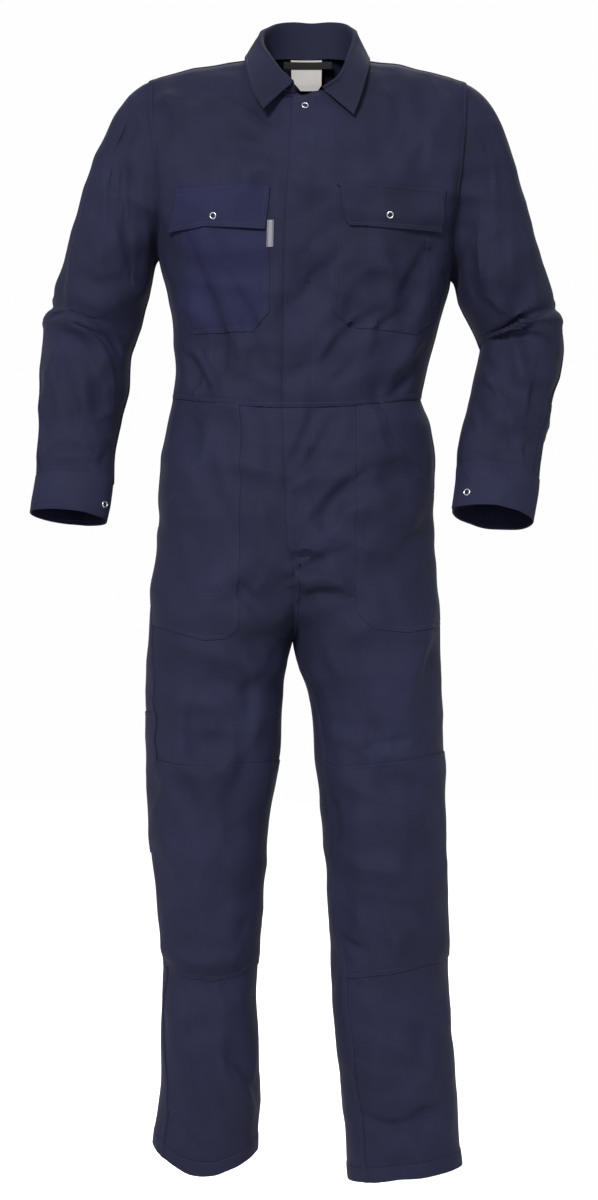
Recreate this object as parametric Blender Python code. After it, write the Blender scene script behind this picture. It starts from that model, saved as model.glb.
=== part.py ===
"""A boiler suit, filled out as when it is worn, with nobody in it.

Frame: metres, +Z up, the front faces -Y, the wearer's left is +X.
The origin is the nape, the middle of the back neckline, where the wearer carries the suit.
Every table and constant below is in millimetres. In the tables x is measured from the plumb
line of the fly, y from the plane of the side seams (front negative), z from the nape.
Each cut piece is a wall of cloth: a grid laid on the garment's surface, thickened inwards.
"""

import math

import bmesh
import bpy
import numpy as np
from mathutils import Matrix, Vector
from mathutils.bvhtree import BVHTree

MM = 0.001
NAPE = np.array((11.0, 66.0, 0.0))  # the nape in the tables' own coordinates
WALL = 1.6  # body cloth with its seam allowances
PATCH_WALL = 1.4  # patch pockets, flaps and knee patches
SEAM_GAP = 0.3  # between neighbouring pieces
FLY_LIFT = 2.8  # how far the overlapping front stands off the front below it
FLY_END = -700.0  # the height at which its stitching ends
FLY_WIDTH = 40.0  # from the fly's free edge to its stitch line
UNDERLAP = 28.0  # how far the right front runs on below the fly
SQUARENESS = 2.3  # exponent of the body's cross-sections: 2 is an ellipse
NECK_HALF_WIDTH = 68.0
CUFF_WALL = 2.4
CUFF_START = 56.0  # degrees from the inside of the wrist over its front: the hidden end
CUFF_OVERLAP = 0.12  # share of the cuff's round that is lapped
COLLAR_FOLD_RADIUS = 3.6
COLLAR_END_RADIUS = 2.2
COLLAR_FOOT_DEPTH = 2.0  # how far the stand's foot reaches below the neckline, inside it
COLLAR_REST = 2.0  # least space between the collar's fall and the shoulders
TAB_WALL = 1.0
LABEL_WALL = 1.0
LOOP_WALL = 1.2
SNAP_RADIUS = 5.0
SNAP_HOLE = 3.0
SNAP_HEIGHT = 1.2

RIGHT, LEFT = -1, 1  # the wearer's sides
FRONT, BACK = -1, 1
CUFF_SNAP = (8.5, 36)  # level and degrees round the wrist, on the left cuff


def table(names, rows):
    """A small table: column name -> its values."""
    return {name: np.array(values, float) for name, values in zip(names.split(), zip(*rows))}


# The bodice, from the waist seam (level 0) over the underarm (3) to the shoulder seam (7).
MIDDLE = table(
    "level x front_y front_z back_y back_z",
    [
        (0.0, -3, -122, -507, 104, -486),
        (1.0, 0, -127, -440, 110, -430),
        (2.0, 4, -135, -365, 119, -362),
        (3.0, 7, -142, -290, 127, -290),
        (4.0, 9, -141, -215, 129, -215),
        (5.0, 10, -124, -142, 121, -138),
        (6.0, 11, -84, -74, 92, -44),
        (6.35, 11, -65, -51, 66, 0),
        (6.7, 11, -42, -28, 38, -2),
        (6.9, 11, -22, -15, 18, -5),
        (7.0, 11, 0, -8, 0, -8),
    ],
)
NECK_FRONT, NECK_BACK, SHOULDER = 6.0, 6.35, 7.0  # levels where the neckline starts and ends
UNDERARM = 3.0
SIDE = {
    RIGHT: table(
        "level x z",
        [
            (0, -177, -489),
            (1, -174, -440),
            (2, -180, -365),
            (3, -196, -292),
            (4, -194, -238),
            (5, -200, -168),
            (6, -208, -98),
            (6.4, -210, -69),
            (6.8, -211, -47),
            (7, -211, -42),
        ],
    ),
    LEFT: table(
        "level x z",
        [
            (0, 169, -489),
            (1, 178, -444),
            (2, 193, -385),
            (3, 210, -322),
            (4, 211, -256),
            (5, 221, -180),
            (6, 229, -104),
            (6.4, 231, -72),
            (6.8, 232, -49),
            (7, 232, -44),
        ],
    ),
}
ARMHOLE = table(
    "level front_y back_y",
    [
        (3, 0, 0),
        (4, -60, 64),
        (5, -75, 82),
        (6, -52, 62),
        (6.4, -37, 47),
        (6.8, -13, 23),
        (7, 5, 5),
    ],
)
BODICE_LEVELS = [0, 0.5, 1, 1.7, 2.4, 3, 3.5, 4, 4.6, 5.3, 6, 6.1, 6.35, 6.42, 6.55, 6.75, 7]

# The trousers, from the waist seam (level 0) over the crotch (10) to the hem (20).
# split runs from 0, one round body, to 1, two separate legs.
TROUSERS = table(
    "level front_y back_y front_drop back_drop split",
    [
        (0, -122, 104, 18, -3, 0),
        (1, -127, 114, 12, -2, 0),
        (2, -133, 130, 5, 0, 0),
        (3, -134, 138, 0, 0, 0),
        (4, -133, 140, 0, 0, 0),
        (5, -133, 140, 0, 0, 0),
        (6, -132, 139, 0, 0, 0.12),
        (7, -128, 134, 0, 0, 0.5),
        (8, -124, 130, 0, 0, 0.8),
        (9, -122, 127, 0, 0, 0.94),
        (10, -121, 125, 0, 0, 1),
        (11, -116, 117, 0, 0, 1),
        (12, -110, 108, 0, 0, 1),
        (13, -102, 97, 0, 0, 1),
        (14, -97, 92, 0, 0, 1),
        (15, -92, 92, 0, 0, 1),
        (16, -87, 93, 0, 0, 1),
        (17, -84, 92, 0, 0, 1),
        (18, -81, 88, 0, 0, 1),
        (19, -78, 82, 0, 0, 1),
        (20, -76, 78, 0, 0, 1),
    ],
)
OUTSEAM = {
    RIGHT: table(
        "level x z",
        [
            (0, -177, -489),
            (1, -190, -545),
            (2, -197, -610),
            (3, -197, -660),
            (4, -199, -690),
            (5, -200, -698),
            (6, -202, -712),
            (7, -208, -755),
            (8, -210, -786),
            (9, -211, -802),
            (10, -212, -808),
            (11, -214, -850),
            (12, -216, -909),
            (13, -214, -993),
            (14, -211, -1077),
            (15, -204, -1161),
            (16, -196, -1245),
            (17, -192, -1301),
            (18, -195, -1371),
            (19, -196, -1455),
            (20, -207, -1527),
        ],
    ),
    LEFT: table(
        "level x z",
        [
            (0, 169, -489),
            (1, 186, -545),
            (2, 189, -610),
            (3, 186, -660),
            (4, 187, -690),
            (5, 187, -698),
            (6, 188, -712),
            (7, 191, -755),
            (8, 194, -786),
            (9, 195, -802),
            (10, 196, -808),
            (11, 198, -850),
            (12, 200, -909),
            (13, 202, -993),
            (14, 203, -1077),
            (15, 205, -1161),
            (16, 208, -1245),
            (17, 210, -1301),
            (18, 213, -1371),
            (19, 220, -1455),
            (20, 227, -1556),
        ],
    ),
}
# The centre seam down to the crotch, and then the inseam.
INSEAM = {
    RIGHT: table(
        "level x z",
        [
            (0, -3, -489),
            (1, -4, -545),
            (2, -5, -610),
            (3, -6, -660),
            (4, -7, -690),
            (5, -8, -698),
            (6, -8, -712),
            (7, -7, -755),
            (8, -7, -786),
            (9, -10, -802),
            (10, -12, -808),
            (11, -20, -850),
            (12, -24, -909),
            (13, -29, -993),
            (14, -45, -1077),
            (15, -51, -1161),
            (16, -56, -1245),
            (17, -60, -1301),
            (18, -57, -1371),
            (19, -55, -1455),
            (20, -58, -1534),
        ],
    ),
    LEFT: table(
        "level x z",
        [
            (0, -3, -489),
            (1, -4, -545),
            (2, -5, -610),
            (3, -6, -660),
            (4, -7, -690),
            (5, -8, -698),
            (6, -8, -712),
            (7, -7, -755),
            (8, -7, -786),
            (9, -10, -802),
            (10, -12, -808),
            (11, -5, -850),
            (12, 13, -909),
            (13, 21, -993),
            (14, 29, -1077),
            (15, 36, -1161),
            (16, 41, -1245),
            (17, 43, -1301),
            (18, 48, -1371),
            (19, 57, -1455),
            (20, 67, -1577),
        ],
    ),
}
CROTCH = 10
TROUSER_LEVELS = [0, 0.5, 1, 1.5, 2, 3, 4, 5, 6, 7, 8, 9, 10, 11, 12, 12.5, 13, 13.5, 14]
TROUSER_LEVELS += [15, 16, 17, 17.5, 18, 18.5, 19, 20]
# How far the seams of a leg are turned to the front, in degrees round the leg; the inseam
# column is read from the crotch down.
LEG_TURN = {
    RIGHT: table(
        "level outseam inseam",
        [
            (5, 0, 0),
            (7, 4, 0),
            (8, 14, 0),
            (10, 24, 0),
            (11, 29, -6),
            (12, 33, -12),
            (14, 28, -15),
            (17, 25, -15),
            (20, 40, -20),
        ],
    ),
    LEFT: table(
        "level outseam inseam",
        [
            (5, 0, 0),
            (9, 0, 0),
            (10, 0, 0),
            (11, -4, 12),
            (12, -8, 25),
            (13, -10, 31),
            (15, -12, 29),
            (17, -14, 42),
            (18, -14, 42),
            (20, -16, 48),
        ],
    ),
}
HEM_DROP = {RIGHT: {"front": 33, "back": 12}, LEFT: {"front": 0, "back": -18}}

# The fly: its free edge on the left front, how far the right front runs on below it, and its
# lift, all by height. Below the fly's end both fronts meet in the centre seam.
FLY = table(
    "z edge underlap lift",
    [
        (-808, -12, 0, 0),
        (-712, -8, 0, 0),
        (-698, -16.5, 0, 1),
        (-690, -17, 1, 1),
        (-507, -23, 1, 1),
        (-440, -23, 1, 1),
        (-290, -21, 1, 1),
        (-215, -17.5, 1, 1),
        (-142, -12.5, 1, 1),
        (-100, -10.5, 1, 1),
        (-74, -9.5, 1, 1.5),
    ],
)

# A sleeve's centre line and half sizes, from the biceps (level 1) to the cuff seam (8).
SLEEVE = {
    RIGHT: table(
        "level x y z width depth",
        [
            (1, -270, 4, -311, 65, 80),
            (2, -282, 8, -350, 66, 77),
            (3, -292, 9, -384, 66, 74),
            (4, -299, 6, -419, 63, 70),
            (5, -302, -4, -468, 63, 64),
            (6, -307, -14, -510, 58, 57),
            (7, -311, -26, -552, 54, 49),
            (8, -313, -40, -602, 54, 42),
            (9, -320, -55, -655, 54, 38),
        ],
    ),
    LEFT: table(
        "level x y z width depth",
        [
            (1, 284, 4, -330, 65, 79),
            (2, 297, 9, -361, 62, 77),
            (3, 307, 11, -390, 60, 74),
            (4, 311, 6, -420, 58, 70),
            (5, 300, -9, -468, 57, 64),
            (6, 290, -25, -510, 57, 57),
            (7, 280, -43, -551, 58, 49),
            (8, 273, -66, -597, 58, 42),
            (9, 264, -93, -655, 56, 38),
        ],
    ),
}
SLEEVE_END, CUFF_END = 8, 9
SLEEVE_LEVELS = [0, 0.12, 0.28, 0.5, 0.75, 1, 1.5, 2, 2.4, 2.7, 3, 3.3, 3.7, 4.2, 5, 6, 7, 8]
CUFF_LEVELS = [8, 8.33, 8.67, 9]
# The seam at the back of the arm: degrees round the sleeve from the underarm over the front.
HIND_SEAM = table("level angle", [(0, 216), (1, 205), (3, 188), (5, 170), (8, 150)])
SEAM_COLUMNS = 2  # the front sleeve takes this many columns past the shoulder at the armhole
CAP_SWELL, CAP_FALL = 0.72, 0.94  # how far the sleeve head starts outwards and ends downwards
ARM_ROUND, ARM_LEVEL = 62.0, 45.0  # millimetres per radian round the arm, and per level along it
FOLD_FADE = 1.4  # how fast folds die away towards a side seam or the underarm seam

# The collar, from its right front end round the nape to its left front end:
# where it folds over, and its outer edge.
COLLAR = table(
    "place fold_x fold_y fold_z edge_x edge_y edge_z",
    [
        (0, -8, -84, -57, -50, -118, -99),
        (1, -28, -64, -36, -66, -98, -68),
        (2, -50, -16, 6, -77, -30, -18),
        (2.5, -48, 16, 28, -77, 22, -5),
        (3, -34, 44, 41, -60, 71, -5),
        (4, 17, 70, 50, 16, 97, -11),
        (5, 66, 42, 41, 89, 69, -7),
        (5.5, 74, 14, 26, 98, 18, -8),
        (6, 70, -16, 2, 97, -34, -23),
        (7, 52, -64, -42, 84, -98, -76),
        (8, 29, -85, -59, 73, -118, -107),
    ],
)

# Folds of the cloth on the body: a bent line across the front or back as it is seen from there,
# how wide the trough or ridge is, and how deep (ridges are positive).
FOLDS = {
    FRONT: table(
        "x1 z1 x2 z2 x3 z3 width depth",
        [
            (-160, -430, -150, -452, -148, -472, 11, -6),
            (-146, -440, -138, -462, -128, -478, 9, -4),
            (45, -398, 35, -425, 5, -445, 16, 3),
            (100, -405, 85, -430, 60, -455, 16, 3),
            (165, -410, 150, -430, 137, -450, 14, 4),
            (-5, -730, 20, -718, 42, -706, 12, -5),
            (-2, -742, 28, -736, 60, -748, 12, 5),
            (6, -766, 30, -758, 64, -760, 12, -5),
            (48, -515, 38, -560, -3, -606, 18, -3),
            (64, -620, 46, -655, 26, -680, 16, -4),
            (176, -818, 160, -858, 152, -900, 16, 4),
            (-95, -1412, -78, -1445, -66, -1475, 14, 4),
            (90, -1480, 130, -1492, 172, -1474, 14, -4),
        ],
    ),
    BACK: table(
        "x1 z1 x2 z2 x3 z3 width depth",
        [
            (-150, -430, -140, -455, -138, -476, 11, -5),
            (-70, -425, -64, -450, -60, -478, 12, -4),
            (20, -420, 22, -450, 18, -478, 13, -4),
            (92, -424, 88, -450, 84, -478, 12, -4),
            (150, -430, 142, -455, 140, -476, 11, -5),
            (-120, -150, -90, -200, -30, -225, 22, 4),
            (130, -160, 100, -205, 50, -232, 22, 4),
            (-40, -790, -70, -845, -110, -862, 15, -5),
            (20, -790, 60, -845, 100, -858, 15, -5),
            (-180, -1100, -140, -1112, -90, -1100, 14, -5),
            (-175, -1135, -130, -1146, -84, -1138, 12, 4),
            (70, -1096, 120, -1110, 170, -1098, 14, -5),
            (76, -1136, 130, -1148, 172, -1136, 12, 4),
        ],
    ),
}
# Folds of the sleeves: degrees round the arm and the level of three points on each.
SLEEVE_FOLDS = {
    RIGHT: table(
        "a1 l1 a2 l2 a3 l3 width depth",
        [
            (20, 3.5, 95, 2.7, 190, 2.8, 15, -6),
            (30, 4.3, 85, 3.3, 185, 3.3, 14, 4),
            (25, 0.9, 60, 0.95, 95, 1.3, 15, -4),
            (200, 3.0, 265, 3.2, 340, 3.7, 15, -4),
        ],
    ),
    LEFT: table(
        "a1 l1 a2 l2 a3 l3 width depth",
        [
            (30, 3.3, 100, 2.6, 190, 2.7, 15, -6),
            (25, 4.2, 90, 3.3, 180, 3.2, 14, 4),
            (200, 3.0, 265, 3.2, 340, 3.7, 15, -4),
        ],
    ),
}


# ---------------------------------------------------------------- the surface


def read(rows, name, at, key="level"):
    """A column of a table at any key, as one smooth line through its rows."""
    keys, values = rows[key], rows[name]
    slopes = np.gradient(values, keys)
    at = np.clip(np.asarray(at, float), keys[0], keys[-1])
    i = np.clip(np.searchsorted(keys, at) - 1, 0, len(keys) - 2)
    step = keys[i + 1] - keys[i]
    t = (at - keys[i]) / step
    return (
        (2 * t**3 - 3 * t**2 + 1) * values[i]
        + (t**3 - 2 * t**2 + t) * step * slopes[i]
        + (3 * t**2 - 2 * t**3) * values[i + 1]
        + (t**3 - t**2) * step * slopes[i + 1]
    )


def fly(name, z):
    """A column of the fly's table, straight from row to row."""
    return np.interp(z, FLY["z"], FLY[name])


def unit(v):
    return v / np.maximum(np.linalg.norm(v, axis=-1, keepdims=True), 1e-9)


def section(x_centre, x_reach, y_side, y_middle, z_side, z_middle, angle):
    """A point of a cross-section; angle is 0 at the side seam and 90 degrees at the middle."""
    across = np.cos(angle)
    round_off = np.maximum(1 - np.abs(across) ** SQUARENESS, 0) ** (1 / SQUARENESS)
    x = x_centre + x_reach * across
    y = y_side + (y_middle - y_side) * round_off
    z = z_side + (z_middle - z_side) * np.sin(angle) ** 2
    return np.stack(np.broadcast_arrays(x, y, z), axis=-1)


def bodice(side, half, level, angle):
    face = "front" if half == FRONT else "back"
    centre = read(MIDDLE, "x", level)
    return section(
        centre,
        read(SIDE[side], "x", level) - centre,
        read(ARMHOLE, face + "_y", np.maximum(level, UNDERARM)),
        read(MIDDLE, face + "_y", level),
        read(SIDE[side], "z", level),
        read(MIDDLE, face + "_z", level),
        angle,
    )


def trousers(side, half, level, angle):
    inner, outer = read(INSEAM[side], "x", level), read(OUTSEAM[side], "x", level)
    split = np.clip(read(TROUSERS, "split", level), 0, 1)
    reach = (outer - inner) * (1 - split / 2)
    outer_z, inner_z = read(OUTSEAM[side], "z", level), read(INSEAM[side], "z", level)
    side_z = (outer_z + inner_z) / 2 + (outer_z - inner_z) / 2 * np.cos(angle)
    in_front = (np.sin(angle) >= 0) == (half == FRONT)
    drop = {
        face: read(TROUSERS, face + "_drop", level) + HEM_DROP[side][face] * np.clip(level - 19, 0, 1)
        for face in ("front", "back")
    }
    middle_y = np.where(in_front, read(TROUSERS, "front_y", level), read(TROUSERS, "back_y", level))
    return section(
        outer - reach,
        reach,
        0.0,
        middle_y,
        side_z,
        side_z - np.where(in_front, drop["front"], drop["back"]),
        angle,
    )


def angle_at(part, side, half, level, x):
    """The angle at which a level of the bodice or trousers reaches x."""
    outer = part(side, half, level, 0.0)[..., 0]
    if part is bodice:
        centre = read(MIDDLE, "x", level)
    else:
        split = np.clip(read(TROUSERS, "split", level), 0, 1)
        centre = outer - (outer - read(INSEAM[side], "x", level)) * (1 - split / 2)
    return np.arccos(np.clip((x - centre) / (outer - centre), -1, 1))


def inner_edge(part, side, half, level):
    """x of the edge of a front or back piece that is nearer to the middle."""
    if part is trousers:
        seam = read(INSEAM[side], "x", level)
        if half == BACK:
            return seam
        z = read(OUTSEAM[side], "z", level) - read(TROUSERS, "front_drop", level)
        edge = fly("edge", z)
        lapped = edge if side == LEFT else edge + UNDERLAP * fly("underlap", z)
        return np.where(level < CROTCH, lapped, seam)
    centre = read(MIDDLE, "x", level)
    if half == BACK:
        start, edge = NECK_BACK, centre
    else:
        start, edge = NECK_FRONT, fly("edge", read(MIDDLE, "front_z", level))
        edge = edge if side == LEFT else edge + UNDERLAP
    climb = np.clip((level - start) / (SHOULDER - start), 0, 1)
    neck_point = centre + side * NECK_HALF_WIDTH
    return edge + (neck_point - edge) * np.sqrt(1 - (1 - climb) ** 2)


def bent_line(rows, names, index, steps=9):
    """Points along the bent line of a fold."""
    a, b, c = (np.array([rows[n + str(k)][index] for n in names]) for k in (1, 2, 3))
    t = np.linspace(0, 1, steps)[:, None]
    return (1 - t) ** 2 * a + 2 * t * (1 - t) * (2 * b - (a + c) / 2) + t**2 * c


def fold_height(line, width, depth, u, v):
    """How far a fold moves the cloth at (u, v): soft across the line, fading at its ends."""
    best = np.full(np.shape(u), np.inf)
    along = np.zeros(np.shape(u))
    for k, (p, q) in enumerate(zip(line[:-1], line[1:])):
        d = q - p
        t = np.clip(((u - p[0]) * d[0] + (v - p[1]) * d[1]) / (d @ d), 0, 1)
        far = (u - p[0] - t * d[0]) ** 2 + (v - p[1] - t * d[1]) ** 2
        along = np.where(far < best, (k + t) / (len(line) - 1), along)
        best = np.minimum(best, far)
    fade = np.sin(np.pi * np.clip(0.12 + 0.76 * along, 0, 1)) ** 0.7
    return depth * fade * np.exp(-best / width**2)


def body_folds(half, points, angle):
    """The folds of the front and back, which die away at the sides of the body and the legs."""
    height = {face: np.zeros(points.shape[:-1]) for face in (FRONT, BACK)}
    for face, rows in FOLDS.items():
        for i in range(len(rows["depth"])):
            line = bent_line(rows, "xz", i)
            width, depth = rows["width"][i], rows["depth"][i]
            height[face] += fold_height(line, width, depth, points[..., 0], points[..., 2])
    in_front = (np.sin(angle) >= 0) == (half == FRONT)
    off_side = np.clip(FOLD_FADE * np.abs(np.sin(angle)), 0, 1)
    return np.where(in_front, height[FRONT], height[BACK]) * off_side


def sleeve_ring(side, level, angle):
    """A point of a ring square to the sleeve's centre line; angle 0 is the underarm."""
    rows = SLEEVE[side]
    centre = np.stack([read(rows, c, level) for c in "xyz"], axis=-1)
    ahead = np.stack([read(rows, c, np.minimum(level + 0.05, 9)) for c in "xyz"], axis=-1)
    behind = np.stack([read(rows, c, np.maximum(level - 0.05, 1)) for c in "xyz"], axis=-1)
    axis = unit(ahead - behind)
    inward = np.array((-side, 0.0, 0.0))
    inward = unit(inward - (axis @ inward)[..., None] * axis)
    forward = np.cross(axis, inward) * side
    forward *= np.where(forward[..., 1:2] > 0, -1, 1)
    width, depth = read(rows, "width", level), read(rows, "depth", level)
    return (
        centre
        + (width * np.cos(angle))[..., None] * inward
        + (depth * np.sin(angle))[..., None] * forward
    )


def armhole(side, turn):
    """The armhole seam; turn runs from 0 at the underarm over the shoulder (1) and back to 2."""
    half_turn = np.where(turn <= 1, turn, 2 - turn)
    upper = np.array([v for v in BODICE_LEVELS if v >= UNDERARM])
    level = np.interp(half_turn, np.linspace(0, 1, len(upper)), upper)
    front, back = bodice(side, FRONT, level, 0.0), bodice(side, BACK, level, 0.0)
    return np.where((turn <= 1)[..., None], front, back)


def sleeve(side, level, turn, angle):
    """A point of a sleeve. turn is its place round the armhole, angle its place round the arm."""
    start = armhole(side, turn)
    low = np.maximum(level, 1.0)
    ring = sleeve_ring(side, low, angle)
    rows = SLEEVE[side]
    first = np.array([rows[c][0] for c in "xyz"])
    second = np.array([rows[c][1] for c in "xyz"])
    far = np.linalg.norm(ring - start, axis=-1, keepdims=True)
    leave = unit(np.array((side, 0.0, -0.3))) * far * CAP_SWELL
    arrive = unit(second - first) * far * CAP_FALL
    t = np.clip(level, 0, 1)[..., None]
    head = (
        (2 * t**3 - 3 * t**2 + 1) * start
        + (t**3 - 2 * t**2 + t) * leave
        + (3 * t**2 - 2 * t**3) * ring
        + (t**3 - t**2) * arrive
    )
    points = np.where((level < 1)[..., None], head, ring)
    return points + sleeve_folds(side, level, angle)[..., None] * outward_of_arm(side, low, ring)


def outward_of_arm(side, level, ring):
    rows = SLEEVE[side]
    centre = np.stack([read(rows, c, level) for c in "xyz"], axis=-1)
    return unit(ring - centre)


def sleeve_folds(side, level, angle):
    """The folds of a sleeve, measured on the flat cloth round and along the arm."""
    rows = SLEEVE_FOLDS[side]
    height = np.zeros(np.broadcast(level, angle).shape)
    for i in range(len(rows["depth"])):
        line = bent_line(rows, "al", i) * (math.radians(ARM_ROUND), ARM_LEVEL)
        width, depth = rows["width"][i], rows["depth"][i]
        height += fold_height(line, width, depth, angle * ARM_ROUND, level * ARM_LEVEL)
    off_seam = np.clip(FOLD_FADE * (1 - np.cos(angle)), 0, 1)
    off_ends = np.clip((SLEEVE_END - level) * 2, 0, 1) * np.clip(level * 2, 0, 1)
    return height * off_seam * off_ends


# ---------------------------------------------------------------- grids of the cut pieces


def body_grid(part, side, half, levels, columns):
    """Rows of points from a piece's inner edge to its side seam, one row for each level."""
    level = np.array(levels, float)[:, None]
    x = inner_edge(part, side, half, level)
    first = angle_at(part, side, half, level, x)
    last = np.zeros_like(first)
    if part is trousers:
        ahead = 1 if half == FRONT else -1
        turned = {name: np.radians(read(LEG_TURN[side], name, level)) for name in ("outseam", "inseam")}
        first = np.where(level >= CROTCH, math.pi - ahead * turned["inseam"], first)
        last = ahead * turned["outseam"]
    share = np.linspace(0, 1, columns + 1)[None, :]
    angle = first + (last - first) * share
    if half == FRONT and side == LEFT:
        angle = fly_columns(part, level, angle)
    points = part(side, half, level, angle)
    normal = surface_normal(lambda l, a: part(side, half, l, a), level, angle, half)
    points = points + body_folds(half, points, angle)[..., None] * normal
    if half == FRONT and side == LEFT:
        points[..., 1] -= fly_lift(points[..., 0], points[..., 2], level)
    return points


def fly_columns(part, level, angle):
    """Along the fly, the left front has a column where its full lift ends and one at its stitching."""
    z = part(LEFT, FRONT, level, math.pi / 2)[..., 2]
    edge = fly("edge", z)
    lifted = angle_at(part, LEFT, FRONT, level, edge + UNDERLAP)
    stitched = angle_at(part, LEFT, FRONT, level, edge + FLY_WIDTH)
    share = np.linspace(0, 1, angle.shape[1] - 2)[None, :]
    beyond = stitched * (1 - share)
    spaced = np.concatenate([angle[:, :1], lifted, beyond], axis=1)
    ends_at = NECK_FRONT if part is bodice else CROTCH
    return np.where((z > FLY_END) & (level <= ends_at), spaced, angle)


def fly_lift(x, z, level):
    """The left front stands off the right front over the width of the fly."""
    from_stitching = fly("edge", z) + FLY_WIDTH - x
    rise = np.clip(from_stitching / (FLY_WIDTH - UNDERLAP), 0, 1)
    return FLY_LIFT * fly("lift", z) * rise * rise * (3 - 2 * rise)


def surface_normal(point, level, angle, half):
    """The outward normal, from small steps along and across the surface."""
    step = 1e-3
    along = point(level + step, angle) - point(level - step, angle)
    across = point(level, angle + step) - point(level, angle - step)
    normal = unit(np.cross(along, across))
    facing = np.where(np.sin(angle) >= 0, half, -half)[..., None]
    return np.where(normal[..., 1:2] * facing < 0, -normal, normal)


def sleeve_grid(side, front, levels):
    """Rows of points round the front or back part of a sleeve, one row for each level."""
    upper = sum(v >= UNDERARM for v in BODICE_LEVELS) - 1
    seam_column = upper + SEAM_COLUMNS
    columns = np.arange(0, seam_column + 1) if front else np.arange(seam_column, 2 * upper + 1)
    level = np.array(levels, float)[:, None]
    turn = np.broadcast_to(columns[None, :] / upper, (len(levels), len(columns)))
    seam = np.radians(read(HIND_SEAM, "angle", level))
    share = (columns - columns[0]) / (columns[-1] - columns[0])
    even = seam * share[None, :] if front else seam + (2 * math.pi - seam) * share[None, :]
    angle = even * np.clip(level, 0, 1) + (1 - np.clip(level, 0, 1)) * turn * math.pi
    return sleeve(side, np.broadcast_to(level, turn.shape), turn, angle)


def cuff_grid(side, columns=20):
    """The cuff band: it starts near the inside of the wrist and laps over its own start."""
    level = np.array(CUFF_LEVELS, float)[:, None]
    turn = np.linspace(0, 1 + CUFF_OVERLAP, columns + 1)[None, :]
    start = math.radians(CUFF_START)
    angle = start - turn * 2 * math.pi
    level = np.broadcast_to(level, (len(level), columns + 1))
    ring = sleeve_ring(side, level, angle)
    out = outward_of_arm(side, level, ring)
    lap = np.clip((turn - (1 - CUFF_OVERLAP)) / CUFF_OVERLAP, 0, 1)
    lap = lap * lap * (3 - 2 * lap)
    return ring + (lap * (CUFF_WALL + 2 * SEAM_GAP))[..., None] * out


def neckline(side, half):
    """The neckline of one bodice piece, from the middle to the shoulder seam."""
    start = NECK_FRONT if half == FRONT else NECK_BACK
    level = np.array([v for v in BODICE_LEVELS if v >= start])
    return bodice(side, half, level, angle_at(bodice, side, half, level, inner_edge(bodice, side, half, level)))


def neck_loop(places):
    """Points of the neckline under the collar, at the collar table's places."""
    centre = np.array((NAPE[0], 0.0))
    ring = np.concatenate(
        [
            neckline(RIGHT, FRONT),
            neckline(RIGHT, BACK)[::-1][1:],
            neckline(LEFT, BACK)[1:],
            neckline(LEFT, FRONT)[::-1][1:],
        ]
    )
    round_neck = np.unwrap(np.arctan2(ring[:, 1] - centre[1], -(ring[:, 0] - centre[0])))
    fold = np.stack([read(COLLAR, "fold_" + c, places, "place") for c in "xyz"], axis=-1)
    want = np.unwrap(np.arctan2(fold[:, 1] - centre[1], -(fold[:, 0] - centre[0])))
    return np.stack([np.interp(want, round_neck, ring[:, k]) for k in range(3)], axis=-1)


def collar_grid(columns=22, stand_rows=3, bend_rows=3, fall_rows=4):
    """The collar's good side: up the stand, over the fold and down the fall."""
    place = np.linspace(0, 8, columns + 1)
    foot = neck_loop(place)
    fold = np.stack([read(COLLAR, "fold_" + c, place, "place") for c in "xyz"], axis=-1)
    edge = np.stack([read(COLLAR, "edge_" + c, place, "place") for c in "xyz"], axis=-1)
    away = foot - (NAPE[0], 0.0, 0.0)
    away[:, 2] = 0
    away = unit(away)
    foot = foot - away * (2 * WALL + SEAM_GAP) - (0.0, 0.0, COLLAR_FOOT_DEPTH)
    up = unit(fold - foot)
    outwards = unit(np.cross(np.gradient(fold, axis=0), up))
    outwards *= np.sign((outwards * away).sum(-1, keepdims=True))
    rows = [foot + (fold - foot) * t for t in np.linspace(0, 1, stand_rows + 1)]
    from_end = np.minimum(place, 8 - place)[:, None]
    open_share = np.clip(from_end / 1.5, 0, 1)
    radius = COLLAR_END_RADIUS + (COLLAR_FOLD_RADIUS - COLLAR_END_RADIUS) * open_share
    for bend in np.linspace(0, math.pi, bend_rows + 2)[1:-1]:
        rows.append(fold + radius * ((1 - math.cos(bend)) * outwards + math.sin(bend) * up))
    shoulder = fold + 2 * radius * outwards
    rows += [shoulder + (edge - shoulder) * t for t in np.linspace(0, 1, fall_rows + 1)]
    rows = np.array(rows)
    fall = rows[-fall_rows:]
    fall[:] = lifted_clear(fall, WALL + COLLAR_REST)
    return rows


def lifted_clear(points, gap):
    """Moves points that lie closer to the bodice than gap out to that distance."""
    surface = [
        body_grid(bodice, side, half, np.linspace(4, SHOULDER, 61), 60)
        for side in (RIGHT, LEFT)
        for half in (FRONT, BACK)
    ]
    normals = np.concatenate([grid_normals(grid, (0, 0, -300)).reshape(-1, 3) for grid in surface])
    places = np.concatenate([grid.reshape(-1, 3) for grid in surface])
    moved = points.copy()
    for index in np.ndindex(points.shape[:-1]):
        near = int(np.argmin(((places - points[index]) ** 2).sum(1)))
        above = (points[index] - places[near]) @ normals[near]
        if above < gap:
            moved[index] += (gap - above) * normals[near]
    return moved


# ---------------------------------------------------------------- from grids to solids


def grid_normals(grid, core):
    """Outward normals of a grid; core is a point of the hollow that it surrounds."""
    normal = unit(np.cross(np.gradient(grid, axis=0), np.gradient(grid, axis=1)))
    outwards = ((grid - core) * normal).sum()
    return normal if outwards > 0 else -normal


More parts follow.
